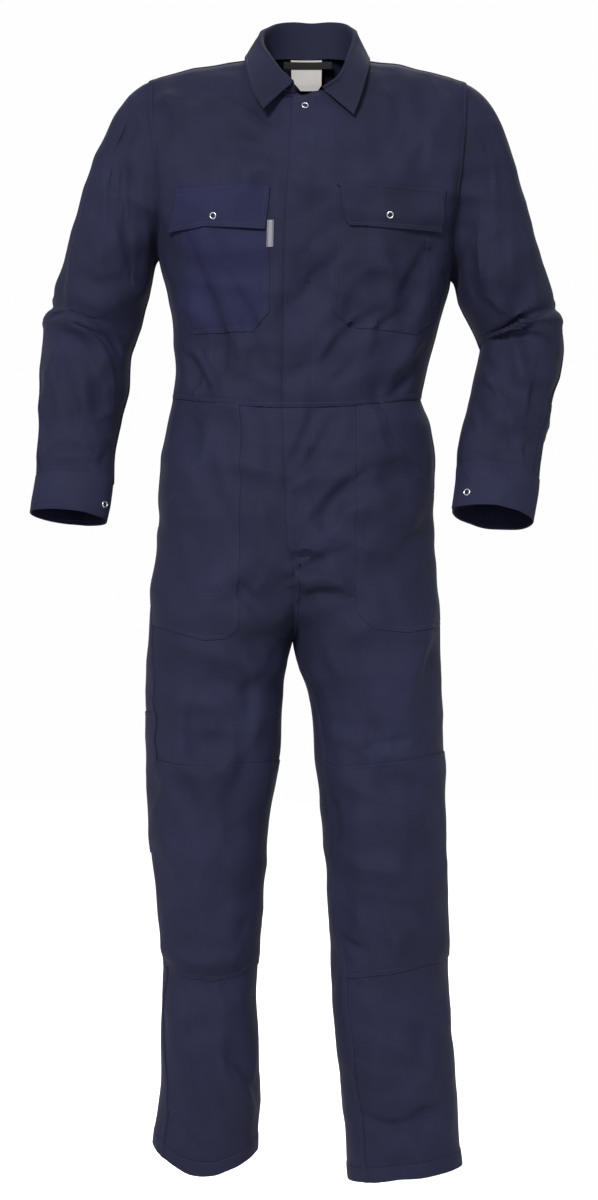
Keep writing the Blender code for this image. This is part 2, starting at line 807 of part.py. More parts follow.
def share_normals(pieces):
    """Neighbouring pieces get one common normal where their edges meet."""
    total = {}
    for piece in pieces:
        for point, normal in zip(piece["grid"].reshape(-1, 3), piece["normal"].reshape(-1, 3)):
            key = tuple(np.round(point * 5).astype(int))
            total[key] = total.get(key, 0) + normal
    for piece in pieces:
        shape = piece["grid"].shape
        keys = [tuple(k) for k in np.round(piece["grid"].reshape(-1, 3) * 5).astype(int)]
        piece["normal"] = unit(np.array([total[k] for k in keys])).reshape(shape)


def draw_in_edges(grid):
    """Moves the four edges of a grid in by half the seam gap."""
    moved = grid.copy()
    for turned in (False, True):
        old = grid.swapaxes(0, 1) if turned else grid
        new = moved.swapaxes(0, 1) if turned else moved
        for border, inner in ((0, 1), (-1, -2)):
            along = unit(np.gradient(old[border], axis=0))
            inwards = old[inner] - old[border]
            inwards = inwards - (inwards * along).sum(-1, keepdims=True) * along
            new[border] += SEAM_GAP / 2 * unit(inwards)
    return moved


def cloth_material(name, colour, roughness=0.85, metallic=0.0):
    material = bpy.data.materials.get(name)
    if material is None:
        material = bpy.data.materials.new(name)
        material.use_nodes = True
        shader = material.node_tree.nodes["Principled BSDF"]
        shader.inputs["Base Color"].default_value = (*colour, 1)
        shader.inputs["Roughness"].default_value = roughness
        shader.inputs["Metallic"].default_value = metallic
        material.diffuse_color = (*colour, 1)
    return material


def to_object(name, bm, material):
    bmesh.ops.recalc_face_normals(bm, faces=bm.faces)
    mesh = bpy.data.meshes.new(name)
    bm.to_mesh(mesh)
    bm.free()
    mesh.materials.append(material)
    mesh.shade_smooth()
    mesh.set_sharp_from_angle(angle=math.radians(50))
    piece = bpy.data.objects.new(name, mesh)
    bpy.context.collection.objects.link(piece)
    piece.parent = suit
    built[name] = piece
    return piece


def metres(points):
    return (np.asarray(points) - NAPE) * MM


def laid_grid(grid):
    """A bmesh grid laid on rows of points."""
    rows, columns = grid.shape[:2]
    bm = bmesh.new()
    bmesh.ops.create_grid(bm, x_segments=columns - 1, y_segments=rows - 1, size=0.5)
    for vert in bm.verts:
        column = round((vert.co.x + 0.5) * (columns - 1))
        row = round((vert.co.y + 0.5) * (rows - 1))
        vert.co = metres(grid[row, column])
    bmesh.ops.triangulate(bm, faces=bm.faces, quad_method="FIXED")
    return bm


def wall(name, grid, normal, thickness, material):
    """A cut piece: its good side is the grid, and the cloth lies behind it."""
    rows, columns = grid.shape[:2]
    bm = bmesh.new()
    bmesh.ops.create_grid(bm, x_segments=columns - 1, y_segments=rows - 1, size=0.5)
    number = bm.verts.layers.int.new("number")
    for vert in bm.verts:
        column = round((vert.co.x + 0.5) * (columns - 1))
        row = round((vert.co.y + 0.5) * (rows - 1))
        vert[number] = row * columns + column
        vert.co = metres(grid[row, column])
    bmesh.ops.triangulate(bm, faces=bm.faces, quad_method="FIXED")
    sides = normal.reshape(-1, 3)
    result = bmesh.ops.extrude_face_region(bm, geom=list(bm.faces), use_keep_orig=True)
    for vert in result["geom"]:
        if isinstance(vert, bmesh.types.BMVert):
            vert.co -= Vector(sides[vert[number]] * thickness * MM)
    return to_object(name, bm, material)


def weld_middle(name, halves, normals, thickness, material):
    """Two mirrored halves, welded along their common centre line into one cut piece."""
    bm = bmesh.new()
    places = []
    for grid in halves:
        half = laid_grid(grid)
        mesh = bpy.data.meshes.new("half")
        half.to_mesh(mesh)
        half.free()
        bm.from_mesh(mesh)
        bpy.data.meshes.remove(mesh)
        places.append(metres(grid).reshape(-1, 3))
    bmesh.ops.remove_doubles(bm, verts=bm.verts, dist=1e-5)
    points, sides = np.concatenate(places), np.concatenate([n.reshape(-1, 3) for n in normals])
    number = bm.verts.layers.int.new("number")
    for vert in bm.verts:
        vert[number] = int(np.argmin(((points - np.array(vert.co)) ** 2).sum(1)))
    result = bmesh.ops.extrude_face_region(bm, geom=list(bm.faces), use_keep_orig=True)
    for vert in result["geom"]:
        if isinstance(vert, bmesh.types.BMVert):
            vert.co -= Vector(sides[vert[number]] * thickness * MM)
    return to_object(name, bm, material)


def inside(outline, x, z):
    """Whether (x, z) lies in the outline."""
    hits = 0
    for (x1, z1), (x2, z2) in zip(outline, outline[1:] + outline[:1]):
        if (z1 > z) != (z2 > z) and x < x1 + (z - z1) / (z2 - z1) * (x2 - x1):
            hits += 1
    return hits % 2 == 1


def patch(name, grid, half, outline, clear, thickness, material, across="x"):
    """A patch on a panel: the panel's own grid, cut to an outline and moved out.

    outline: corners (x, z) seen from the front, or (y, z) seen from the side; an edge that
    ends in a seam of the panel runs past it."""
    bm = laid_grid(grid)
    axis = 0 if across == "x" else 1
    for (a1, z1), (a2, z2) in zip(outline, outline[1:] + outline[:1]):
        place, direction = np.zeros(3), np.zeros(3)
        place[axis], place[2] = a1, z1
        direction[axis], direction[2] = z2 - z1, a1 - a2
        geom = list(bm.verts) + list(bm.edges) + list(bm.faces)
        bmesh.ops.bisect_plane(
            bm, geom=geom, dist=1e-6, plane_co=metres(place), plane_no=Vector(direction).normalized()
        )
    outside = []
    for face in bm.faces:
        centre = np.array(face.calc_center_median()) / MM + NAPE
        if not inside(outline, centre[axis], centre[2]):
            outside.append(face)
    bmesh.ops.delete(bm, geom=outside, context="FACES")
    bmesh.ops.remove_doubles(bm, verts=bm.verts, dist=0.15 * MM)
    bm.normal_update()
    facing = sum(f.normal[1 - axis] * f.calc_area() for f in bm.faces) * half
    if facing < 0:
        bmesh.ops.reverse_faces(bm, faces=bm.faces)
        bm.normal_update()
    bm.verts.index_update()
    side = {v.index: v.normal.copy() * v.calc_shell_factor() for v in bm.verts}
    number = bm.verts.layers.int.new("number")
    for vert in bm.verts:
        vert[number] = vert.index
    result = bmesh.ops.extrude_face_region(bm, geom=list(bm.faces), use_keep_orig=True)
    outer = {v for v in result["geom"] if isinstance(v, bmesh.types.BMVert)}
    for vert in bm.verts:
        out = clear + thickness if vert in outer else clear
        vert.co += side[vert[number]] * out * MM
    return to_object(name, bm, material)


def ring_snap(name, piece, start, direction):
    """A metal ring snap, flat side down on the cloth."""
    bm = bmesh.new()
    middle = (SNAP_RADIUS + SNAP_HOLE) / 2
    profile = [(SNAP_HOLE, 0), (SNAP_RADIUS, 0), (middle, SNAP_HEIGHT)]
    loop = [bm.verts.new(Vector((r, 0, h)) * MM) for r, h in profile]
    edges = [bm.edges.new((loop[i], loop[(i + 1) % len(loop)])) for i in range(len(loop))]
    bmesh.ops.spin(
        bm,
        geom=loop + edges,
        cent=(0, 0, 0),
        axis=(0, 0, 1),
        angle=2 * math.pi,
        steps=16,
        use_merge=True,
    )
    bmesh.ops.remove_doubles(bm, verts=bm.verts, dist=0.01 * MM)
    place, normal = seat(piece, start, direction)
    turn = Vector((0, 0, 1)).rotation_difference(normal).to_matrix().to_4x4()
    bmesh.ops.transform(bm, matrix=Matrix.Translation(place) @ turn, verts=bm.verts)
    return to_object(name, bm, SNAP_STEEL)


def tree_of(piece):
    return BVHTree.FromPolygons(
        [vert.co for vert in piece.data.vertices], [face.vertices for face in piece.data.polygons]
    )


def seat(piece, start, direction):
    """Where a ray meets a piece, raised so that a snap's whole rim clears the cloth there."""
    tree = tree_of(piece)
    place, normal, _, _ = tree.ray_cast(Vector(start), Vector(direction))
    if normal.dot(Vector(direction)) > 0:
        normal = -normal
    sideways = normal.orthogonal()
    rise = 0.0
    for turn in range(12):
        arm = Matrix.Rotation(turn * math.pi / 6, 3, normal) @ sideways * (SNAP_RADIUS * MM)
        hit = tree.ray_cast(place + arm + normal * 0.02, -normal)[0]
        if hit is not None:
            rise = max(rise, (hit - place).dot(normal))
    return place + normal * (rise + SEAM_GAP * MM), normal


# ---------------------------------------------------------------- the suit

for old in list(bpy.data.objects):
    bpy.data.objects.remove(old, do_unlink=True)
built = {}
suit = bpy.data.objects.new("suit", None)
bpy.context.collection.objects.link(suit)

TWILL = cloth_material("navy_twill", (0.026, 0.028, 0.060))
SNAP_STEEL = cloth_material("nickel_plated_snap", (0.62, 0.62, 0.64), 0.3, 1.0)
LABEL_SATIN = cloth_material("white_label_satin", (0.80, 0.79, 0.76), 0.55)
TAB_TAPE = cloth_material("grey_tab_tape", (0.45, 0.45, 0.46), 0.6)
LOOP_TAPE = cloth_material("black_loop_tape", (0.018, 0.018, 0.018), 0.7)

BODY_COLUMNS = 9
side_names = {RIGHT: "right", LEFT: "left"}
pieces = []


def add_piece(name, grid, core, thickness=WALL):
    pieces.append({"name": name, "grid": grid, "normal": grid_normals(grid, core), "wall": thickness})


for side, word in side_names.items():
    for half, face in ((FRONT, "front"), (BACK, "back")):
        grid = body_grid(bodice, side, half, BODICE_LEVELS, BODY_COLUMNS)
        add_piece(f"bodice_{face}_{word}", grid, (0, 0, -300))
        grid = body_grid(trousers, side, half, TROUSER_LEVELS, BODY_COLUMNS)
        axis = (side * 100, 0, -1000)
        add_piece(f"trouser_{face}_{word}", grid, axis)
        arm = (SLEEVE[side]["x"][3], 0, -380)
        add_piece(f"sleeve_{face}_{word}", sleeve_grid(side, half == FRONT, SLEEVE_LEVELS), arm)
share_normals(pieces)
panel = {piece["name"]: piece for piece in pieces}
for piece in pieces:
    if not piece["name"].startswith("bodice_back"):
        grid = draw_in_edges(piece["grid"])
        wall(piece["name"], grid, piece["normal"], piece["wall"], TWILL)

backs = [panel["bodice_back_right"], panel["bodice_back_left"]]
halves = []
for piece in backs:
    grid = draw_in_edges(piece["grid"])
    below_neck = sum(v <= NECK_BACK for v in BODICE_LEVELS)
    grid[:below_neck, 0, 0] = piece["grid"][:below_neck, 0, 0]
    halves.append(grid)
weld_middle("bodice_back", halves, [p["normal"] for p in backs], WALL, TWILL)

for side, word in side_names.items():
    grid = cuff_grid(side)
    axis = np.array([SLEEVE[side][c][-1] for c in "xyz"])
    wall(f"cuff_{word}", draw_in_edges(grid), grid_normals(grid, axis), CUFF_WALL, TWILL)

grid = collar_grid()
normal = unit(np.cross(np.gradient(grid, axis=0), np.gradient(grid, axis=1)))
at_nape = normal.shape[1] // 2
wall("collar", grid, normal * np.sign(normal[-1, at_nape, 1]), WALL, TWILL)

# What is sewn on the panels: outlines as they are seen from the front, rule pocket from the side.
PATCHES = {
    "chest_pocket_right": [(-164, -212), (-164, -386.5), (-147.5, -404), (-65, -404), (-42, -378), (-42, -212)],
    "chest_pocket_left": [(57, -212), (44.7, -377), (67.7, -397), (157, -404), (179, -386.5), (180, -212)],
    "chest_flap_right": [(-171, -207.6), (-179, -264.5), (-123, -260.5), (-47, -267), (-41, -206.3)],
    "chest_flap_left": [(53, -201), (64, -258), (195, -266), (198, -208)],
    "hip_pocket_right": [(-113, -465), (-260, -778), (-260, -803), (-131, -824), (-99, -822), (-84, -808), (-81, -465)],
    "hip_pocket_left": [
        (77, -465),
        (77, -785),
        (100, -808),
        (150, -813),
        (260, -797),
        (260, -767),
        (177.5, -599),
        (148, -557),
        (112, -465),
    ],
    "knee_patch_right": [(-260, -994), (-260, -1293), (-120, -1298), (40, -1293), (40, -994)],
    "knee_patch_left": [(-40, -992), (-40, -1286), (150, -1297), (260, -1290), (260, -994)],
    "rule_pocket": [(-140, -924), (-140, -1120), (14, -1120), (14, -924)],
    "pocket_tab": [(-44.6, -254), (-44.6, -291), (-36, -291), (-36, -254)],
}
ON_PANEL = {
    "chest_pocket_right": "bodice_front_right",
    "chest_pocket_left": "bodice_front_left",
    "chest_flap_right": "bodice_front_right",
    "chest_flap_left": "bodice_front_left",
    "hip_pocket_right": "trouser_front_right",
    "hip_pocket_left": "trouser_front_left",
    "knee_patch_right": "trouser_front_right",
    "knee_patch_left": "trouser_front_left",
    "rule_pocket": "trouser_back_right",
    "pocket_tab": "bodice_front_right",
}
FLAP_CLEAR = SEAM_GAP + PATCH_WALL + 0.5
for name, outline in PATCHES.items():
    under = draw_in_edges(panel[ON_PANEL[name]]["grid"])
    clear, thickness, material = SEAM_GAP, PATCH_WALL, TWILL
    if "flap" in name:
        clear = FLAP_CLEAR
    if name == "pocket_tab":
        clear, thickness, material = 2 * SEAM_GAP + PATCH_WALL, TAB_WALL, TAB_TAPE
    if name == "rule_pocket":
        patch(name, under[:, -5:], RIGHT, outline, clear, thickness, material, across="y")
    else:
        patch(name, under, FRONT, outline, clear, thickness, material)

SNAPS = {
    "snap_neck": ("bodice_front_left", 6.8, -93),
    "snap_flap_right": ("chest_flap_right", -118, -247.6),
    "snap_flap_left": ("chest_flap_left", 122, -247),
}
for name, (under, x, z) in SNAPS.items():
    ring_snap(name, built[under], metres((x, -400, z)), (0, 1, 0))
snap_level, snap_angle = np.array(CUFF_SNAP[:1]), np.radians(CUFF_SNAP[1:])
place = sleeve_ring(LEFT, snap_level, snap_angle)
out = outward_of_arm(LEFT, snap_level, place)[0]
ring_snap("snap_cuff_left", built["cuff_left"], metres(place[0] + 40 * out), -out)


def hanging(name, x_range, z_range, y_line, thickness, material, columns, rows):
    """A small flat piece inside the back neck; y_line gives y at any x and z."""
    x, z = np.meshgrid(np.linspace(*x_range, columns + 1), np.linspace(*z_range, rows + 1))
    grid = np.stack([x, y_line(x, z), z], axis=-1)
    wall(name, grid, np.broadcast_to((0.0, -1.0, 0.0), grid.shape), thickness, material)


hanging("neck_label", (-13, 31), (-2.6, -46), lambda x, z: 60.4 - 0.004 * (x - NAPE[0]) ** 2, LABEL_WALL, LABEL_SATIN, 4, 2)
hanging(
    "locker_loop",
    (-23, 45),
    (-5.4, -15.4),
    lambda x, z: 58.6 - 0.004 * (x - NAPE[0]) ** 2,
    LOOP_WALL,
    LOOP_TAPE,
    8,
    1,
)
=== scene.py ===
"""The looks of a navy boiler suit, filled out as when it is worn, with nobody in it.

Every table and constant is in millimetres, in the cutter's own coordinates: x from the plumb
line of the fly, y from the plane of the side seams (front negative), z from the nape.
Each cut piece is a dense sheet of twill, laid on the garment's surface with its folds, seams
and hems, and then thickened inwards.
"""

import math

import bmesh
import bpy
import numpy as np
from mathutils import Matrix, Vector
from mathutils.bvhtree import BVHTree


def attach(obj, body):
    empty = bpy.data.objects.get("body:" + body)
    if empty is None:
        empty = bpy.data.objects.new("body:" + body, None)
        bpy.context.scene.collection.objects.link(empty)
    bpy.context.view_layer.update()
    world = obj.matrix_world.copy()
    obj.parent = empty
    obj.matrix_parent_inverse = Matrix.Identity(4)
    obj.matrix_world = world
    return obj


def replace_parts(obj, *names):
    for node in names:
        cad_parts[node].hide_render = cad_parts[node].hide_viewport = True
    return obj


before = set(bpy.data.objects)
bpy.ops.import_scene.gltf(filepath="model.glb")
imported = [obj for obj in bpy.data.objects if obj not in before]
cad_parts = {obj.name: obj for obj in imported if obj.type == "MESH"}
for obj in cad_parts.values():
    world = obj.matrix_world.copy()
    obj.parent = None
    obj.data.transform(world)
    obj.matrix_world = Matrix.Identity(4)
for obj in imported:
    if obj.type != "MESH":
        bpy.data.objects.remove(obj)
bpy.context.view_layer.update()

MM = 0.001
NAPE = np.array((11.0, 66.0, 0.0))  # the nape in the tables' own coordinates
RIGHT, LEFT = -1, 1  # the wearer's sides
FRONT, BACK = -1, 1
SIDE_NAMES = {RIGHT: "right", LEFT: "left"}

FLY_LIFT = 2.8  # how far the overlapping front stands off the front below it
FLY_WIDTH = 40.0  # from the fly's free edge to its stitch line
UNDERLAP = 28.0  # how far the right front runs on below the fly
SQUARENESS = 2.3  # exponent of the body's cross-sections: 2 is an ellipse
NECK_HALF_WIDTH = 68.0
CUFF_LAP = 3.0  # how far the cuff's outer end stands off the end below it
CUFF_START = 56.0  # degrees from the inside of the wrist over its front: the hidden end
CUFF_OVERLAP = 0.12  # share of the cuff's round that is lapped
TWILL_WALL = 1.2  # body cloth as it shows at an edge
PATCH_CLEAR = 0.3  # between a patch and its panel
TAB_CLEAR = 0.9
FLAP_CLEAR = 2.2  # between a flap and its panel: the pocket lies between them
PATCH_WALL = 1.2
RIM_ANGLE = math.radians(52)
CELL = 4.7  # how far apart the points of a sheet lie
STITCH_PITCH = 3.6
STITCH_LENGTH = 2.9
STITCH_RADIUS = 0.25


THREAD_LIFT, BAND_THREAD_LIFT = 0.12, 0.14  # how far a stitch's middle stands off the cloth
CUFF_WALL, COLLAR_WALL = 2.2, 1.5
IN_FRONT = -400  # a y ahead of the whole suit, from which rays are cast at its cloth


def table(text):
    """A small table, its columns named in its first line: column name -> its values."""
    lines = [line.split() for line in text.splitlines() if line.strip() and "#" not in line]
    return {name: np.array(values, float) for name, values in zip(lines[0], zip(*lines[1:]))}


# ---------------------------------------------------------------- the garment's measures

# The bodice, from the waist seam (level 0) over the underarm (3) to the shoulder seam (7).
MIDDLE = table("""
    level x front_y front_z back_y back_z
    0.0 -3 -122 -507 104 -486
    1.0 0 -127 -440 110 -430
    2.0 4 -135 -365 119 -362
    3.0 7 -142 -290 127 -290
    4.0 9 -141 -215 129 -215
    5.0 10 -124 -142 121 -138
    6.0 11 -84 -74 92 -44
    6.35 11 -65 -51 66 0
    6.7 11 -42 -28 38 -2
    6.9 11 -22 -15 18 -5
    7.0 11 0 -8 0 -8
""")
NECK_FRONT, NECK_BACK, SHOULDER = 6.0, 6.35, 7.0  # levels where the neckline starts and ends
UNDERARM = 3.0
SIDE = {
    RIGHT: table("""
    level x z
    0 -177 -489
    1 -174 -440
    2 -180 -365
    3 -196 -292
    4 -194 -238
    5 -200 -168
    6 -208 -98
    6.4 -210 -69
    6.8 -211 -47
    7 -211 -42
"""),
    LEFT: table("""
    level x z
    0 169 -489
    1 178 -444
    2 193 -385
    3 210 -322
    4 211 -256
    5 221 -180
    6 229 -104
    6.4 231 -72
    6.8 232 -49
    7 232 -44
"""),
}
ARMHOLE = table("""
    level front_y back_y
    3 0 0
    4 -60 64
    5 -75 82
    6 -52 62
    6.4 -37 47
    6.8 -13 23
    7 5 5
""")
# The levels between which the armhole is divided evenly, and how finely each stretch is cut.
UPPER = [3, 3.5, 4, 4.6, 5.3, 6, 6.1, 6.35, 6.42, 6.55, 6.75, 7]
UPPER_CUTS = [6, 6, 9, 11, 11, 4, 5, 4, 4, 5, 6]

# The trousers, from the waist seam (level 0) over the crotch (10) to the hem (20).
# split runs from 0, one round body, to 1, two separate legs.
TROUSERS = table("""
    level front_y back_y front_drop back_drop split
    0 -122 104 18 -3 0
    1 -127 114 12 -2 0
    2 -133 130 5 0 0
    3 -134 138 0 0 0
    4 -133 140 0 0 0
    5 -133 140 0 0 0
    6 -132 139 0 0 0.12
    7 -128 134 0 0 0.5
    8 -124 130 0 0 0.8
    9 -122 127 0 0 0.94
    10 -121 125 0 0 1
    11 -116 117 0 0 1
    12 -110 108 0 0 1
    13 -102 97 0 0 1
    14 -97 92 0 0 1
    15 -92 92 0 0 1
    16 -87 93 0 0 1
    17 -84 92 0 0 1
    18 -81 88 0 0 1
    19 -78 82 0 0 1
    20 -76 78 0 0 1
""")
# A leg's outseam, and its centre seam down to the crotch with the inseam below it.
LEG_SEAMS = {
    RIGHT: table("""
    level out_x out_z in_x in_z
    0 -177 -489 -3 -489
    1 -190 -545 -4 -545
    2 -197 -606 -5 -606
    3 -197 -648 -6 -648
    4 -199 -677 -7 -677
    5 -200 -699 -8 -699
    6 -203 -722 -8 -722
    7 -208 -752 -7 -752
    8 -210 -779 -7 -779
    9 -211 -801 -9 -801
    10 -212 -821 -10 -821
    11 -214 -857 -18 -857
    12 -216 -909 -24 -909
    13 -214 -993 -29 -993
    14 -211 -1077 -45 -1077
    15 -204 -1161 -51 -1161
    16 -196 -1245 -56 -1245
    17 -192 -1301 -60 -1301
    18 -195 -1371 -57 -1371
    19 -196 -1455 -55 -1455
    20 -207 -1527 -58 -1534
"""),
    LEFT: table("""
    level out_x out_z in_x in_z
    0 169 -489 -3 -489
    1 186 -545 -4 -545
    2 189 -606 -5 -606
    3 186 -648 -6 -648
    4 187 -677 -7 -677
    5 187 -699 -8 -699
    6 189 -722 -8 -722
    7 191 -752 -7 -752
    8 194 -779 -7 -779
    9 195 -801 -9 -801
    10 196 -821 -10 -821
    11 198 -857 -4 -857
    12 200 -909 13 -909
    13 202 -993 21 -993
    14 203 -1077 29 -1077
    15 205 -1161 36 -1161
    16 208 -1245 41 -1245
    17 210 -1301 43 -1301
    18 213 -1371 48 -1371
    19 220 -1455 57 -1455
    20 227 -1556 67 -1577
"""),
}
CROTCH, HEM = 10, 20
# How far the seams of a leg are turned to the front, in degrees round the leg.
LEG_TURN = {
    RIGHT: table("""
    level outseam inseam
    5 0 0
    7 4 0
    8 14 0
    10 24 0
    11 29 -6
    12 33 -12
    14 28 -15
    17 25 -15
    20 40 -20
"""),
    LEFT: table("""
    level outseam inseam
    5 0 0
    9 0 0
    10 0 0
    11 -4 12
    12 -8 25
    13 -10 31
    15 -12 29
    17 -14 42
    18 -14 42
    20 -16 48
"""),
}
HEM_DROP = {RIGHT: {"front": 33, "back": 12}, LEFT: {"front": 0, "back": -18}}

# The fly: its free edge on the left front, how far the right front runs on below it, and its
# lift, all by height. Below the fly's end both fronts meet in the centre seam.
FLY = table("""
    z edge underlap lift
    -821 -10 0 0
    -712 -8 0 0
    -698 -16.5 0.15 1
    -690 -17 0.25 1
    -640 -18.6 1 1
    -507 -23 1 1
    -440 -23 1 1
    -290 -21 1 1
    -215 -17.5 1 1
    -142 -12.5 1 1
    -100 -10.5 1 1
    -74 -9.5 1 1.5
""")
FLY_STITCH_END = -699
FLY_HOLLOW, FLY_HOLLOW_WIDTH = 2.6, 4.5  # how far the right front sinks beside the fly's free edge

# A sleeve's centre line and half sizes, from the biceps (level 1) to the cuff seam (8).
SLEEVE = {
    RIGHT: table("""
    level x y z width depth
    1 -270 4 -311 65 80
    2 -282 8 -350 66 77
    3 -292 9 -384 66 74
    4 -299 6 -419 63 70
    5 -302 -4 -468 63 64
    6 -307 -14 -510 58 57
    7 -311 -26 -552 54 49
    8 -313 -40 -602 54 42
    9 -320 -55 -655 54 38
"""),
    LEFT: table("""
    level x y z width depth
    1 284 4 -330 65 79
    2 297 9 -361 62 77
    3 307 11 -390 60 74
    4 311 6 -420 58 70
    5 300 -9 -468 57 64
    6 290 -25 -510 57 57
    7 280 -43 -551 58 49
    8 273 -66 -597 58 42
    9 264 -93 -655 56 38
"""),
}
SLEEVE_END, CUFF_END = 8, 9
# The seam at the back of the arm: degrees round the sleeve from the underarm over the front.
HIND_SEAM = table("""
    level angle
    0 216
    1 205
    3 188
    5 170
    8 150
""")
HIND_TURN = 13 / 11  # where that seam starts on the armhole: 0 underarm, 1 shoulder, 2 underarm
CAP_SWELL, CAP_FALL = 0.72, 0.94  # how far the sleeve head starts outwards and ends downwards
ARM_ROUND, ARM_LEVEL = 62.0, 45.0  # millimetres per radian round the arm, and per level along it
FOLD_GAIN = 2.3  # the tables' depths are those of the quietest folds
STEEP, SHALLOW = 0.48, 1.3  # how wide a fold's two sides are, against its width
FOLD_FADE = 1.4  # how fast folds die away towards a side seam or the underarm seam
FOLD_SAMPLES, FOLD_REACH, FOLD_END = 9, 3, 0.12  # its points, its reach in widths, how early it fades

# The collar, from its right front end round the nape to its left front end:
# where it folds over, and its outer edge.
COLLAR = table("""
    place fold_x fold_y fold_z edge_x edge_y edge_z
    0 -8 -84 -57 -50 -114 -99
    1 -28 -64 -36 -66 -98 -68
    2 -50 -16 6 -77 -30 -18
    2.5 -50 16 27 -77 22 -5
    3 -40 41 38 -63 66 -5
    3.4 -23 61 49 -38 87 -7
    4 17 70 49.5 16 97 -11
    4.6 55 60 49 64 88 -9
    5 67 42 39 89 69 -7
    5.5 74 14 26 98 18 -8
    6 70 -16 2 97 -34 -23
    7 54 -64 -44 84 -98 -76
    8 30 -86 -65 73 -114 -107
""")
COLLAR_FOLD_RADIUS, COLLAR_END_RADIUS = 3.6, 2.2
COLLAR_FOOT_IN, COLLAR_FOOT_DEPTH = 3.5, 2.0  # the stand's foot lies inside and below the neckline
COLLAR_CLEAR = 3.6  # least space from the shoulders' good side to the collar's

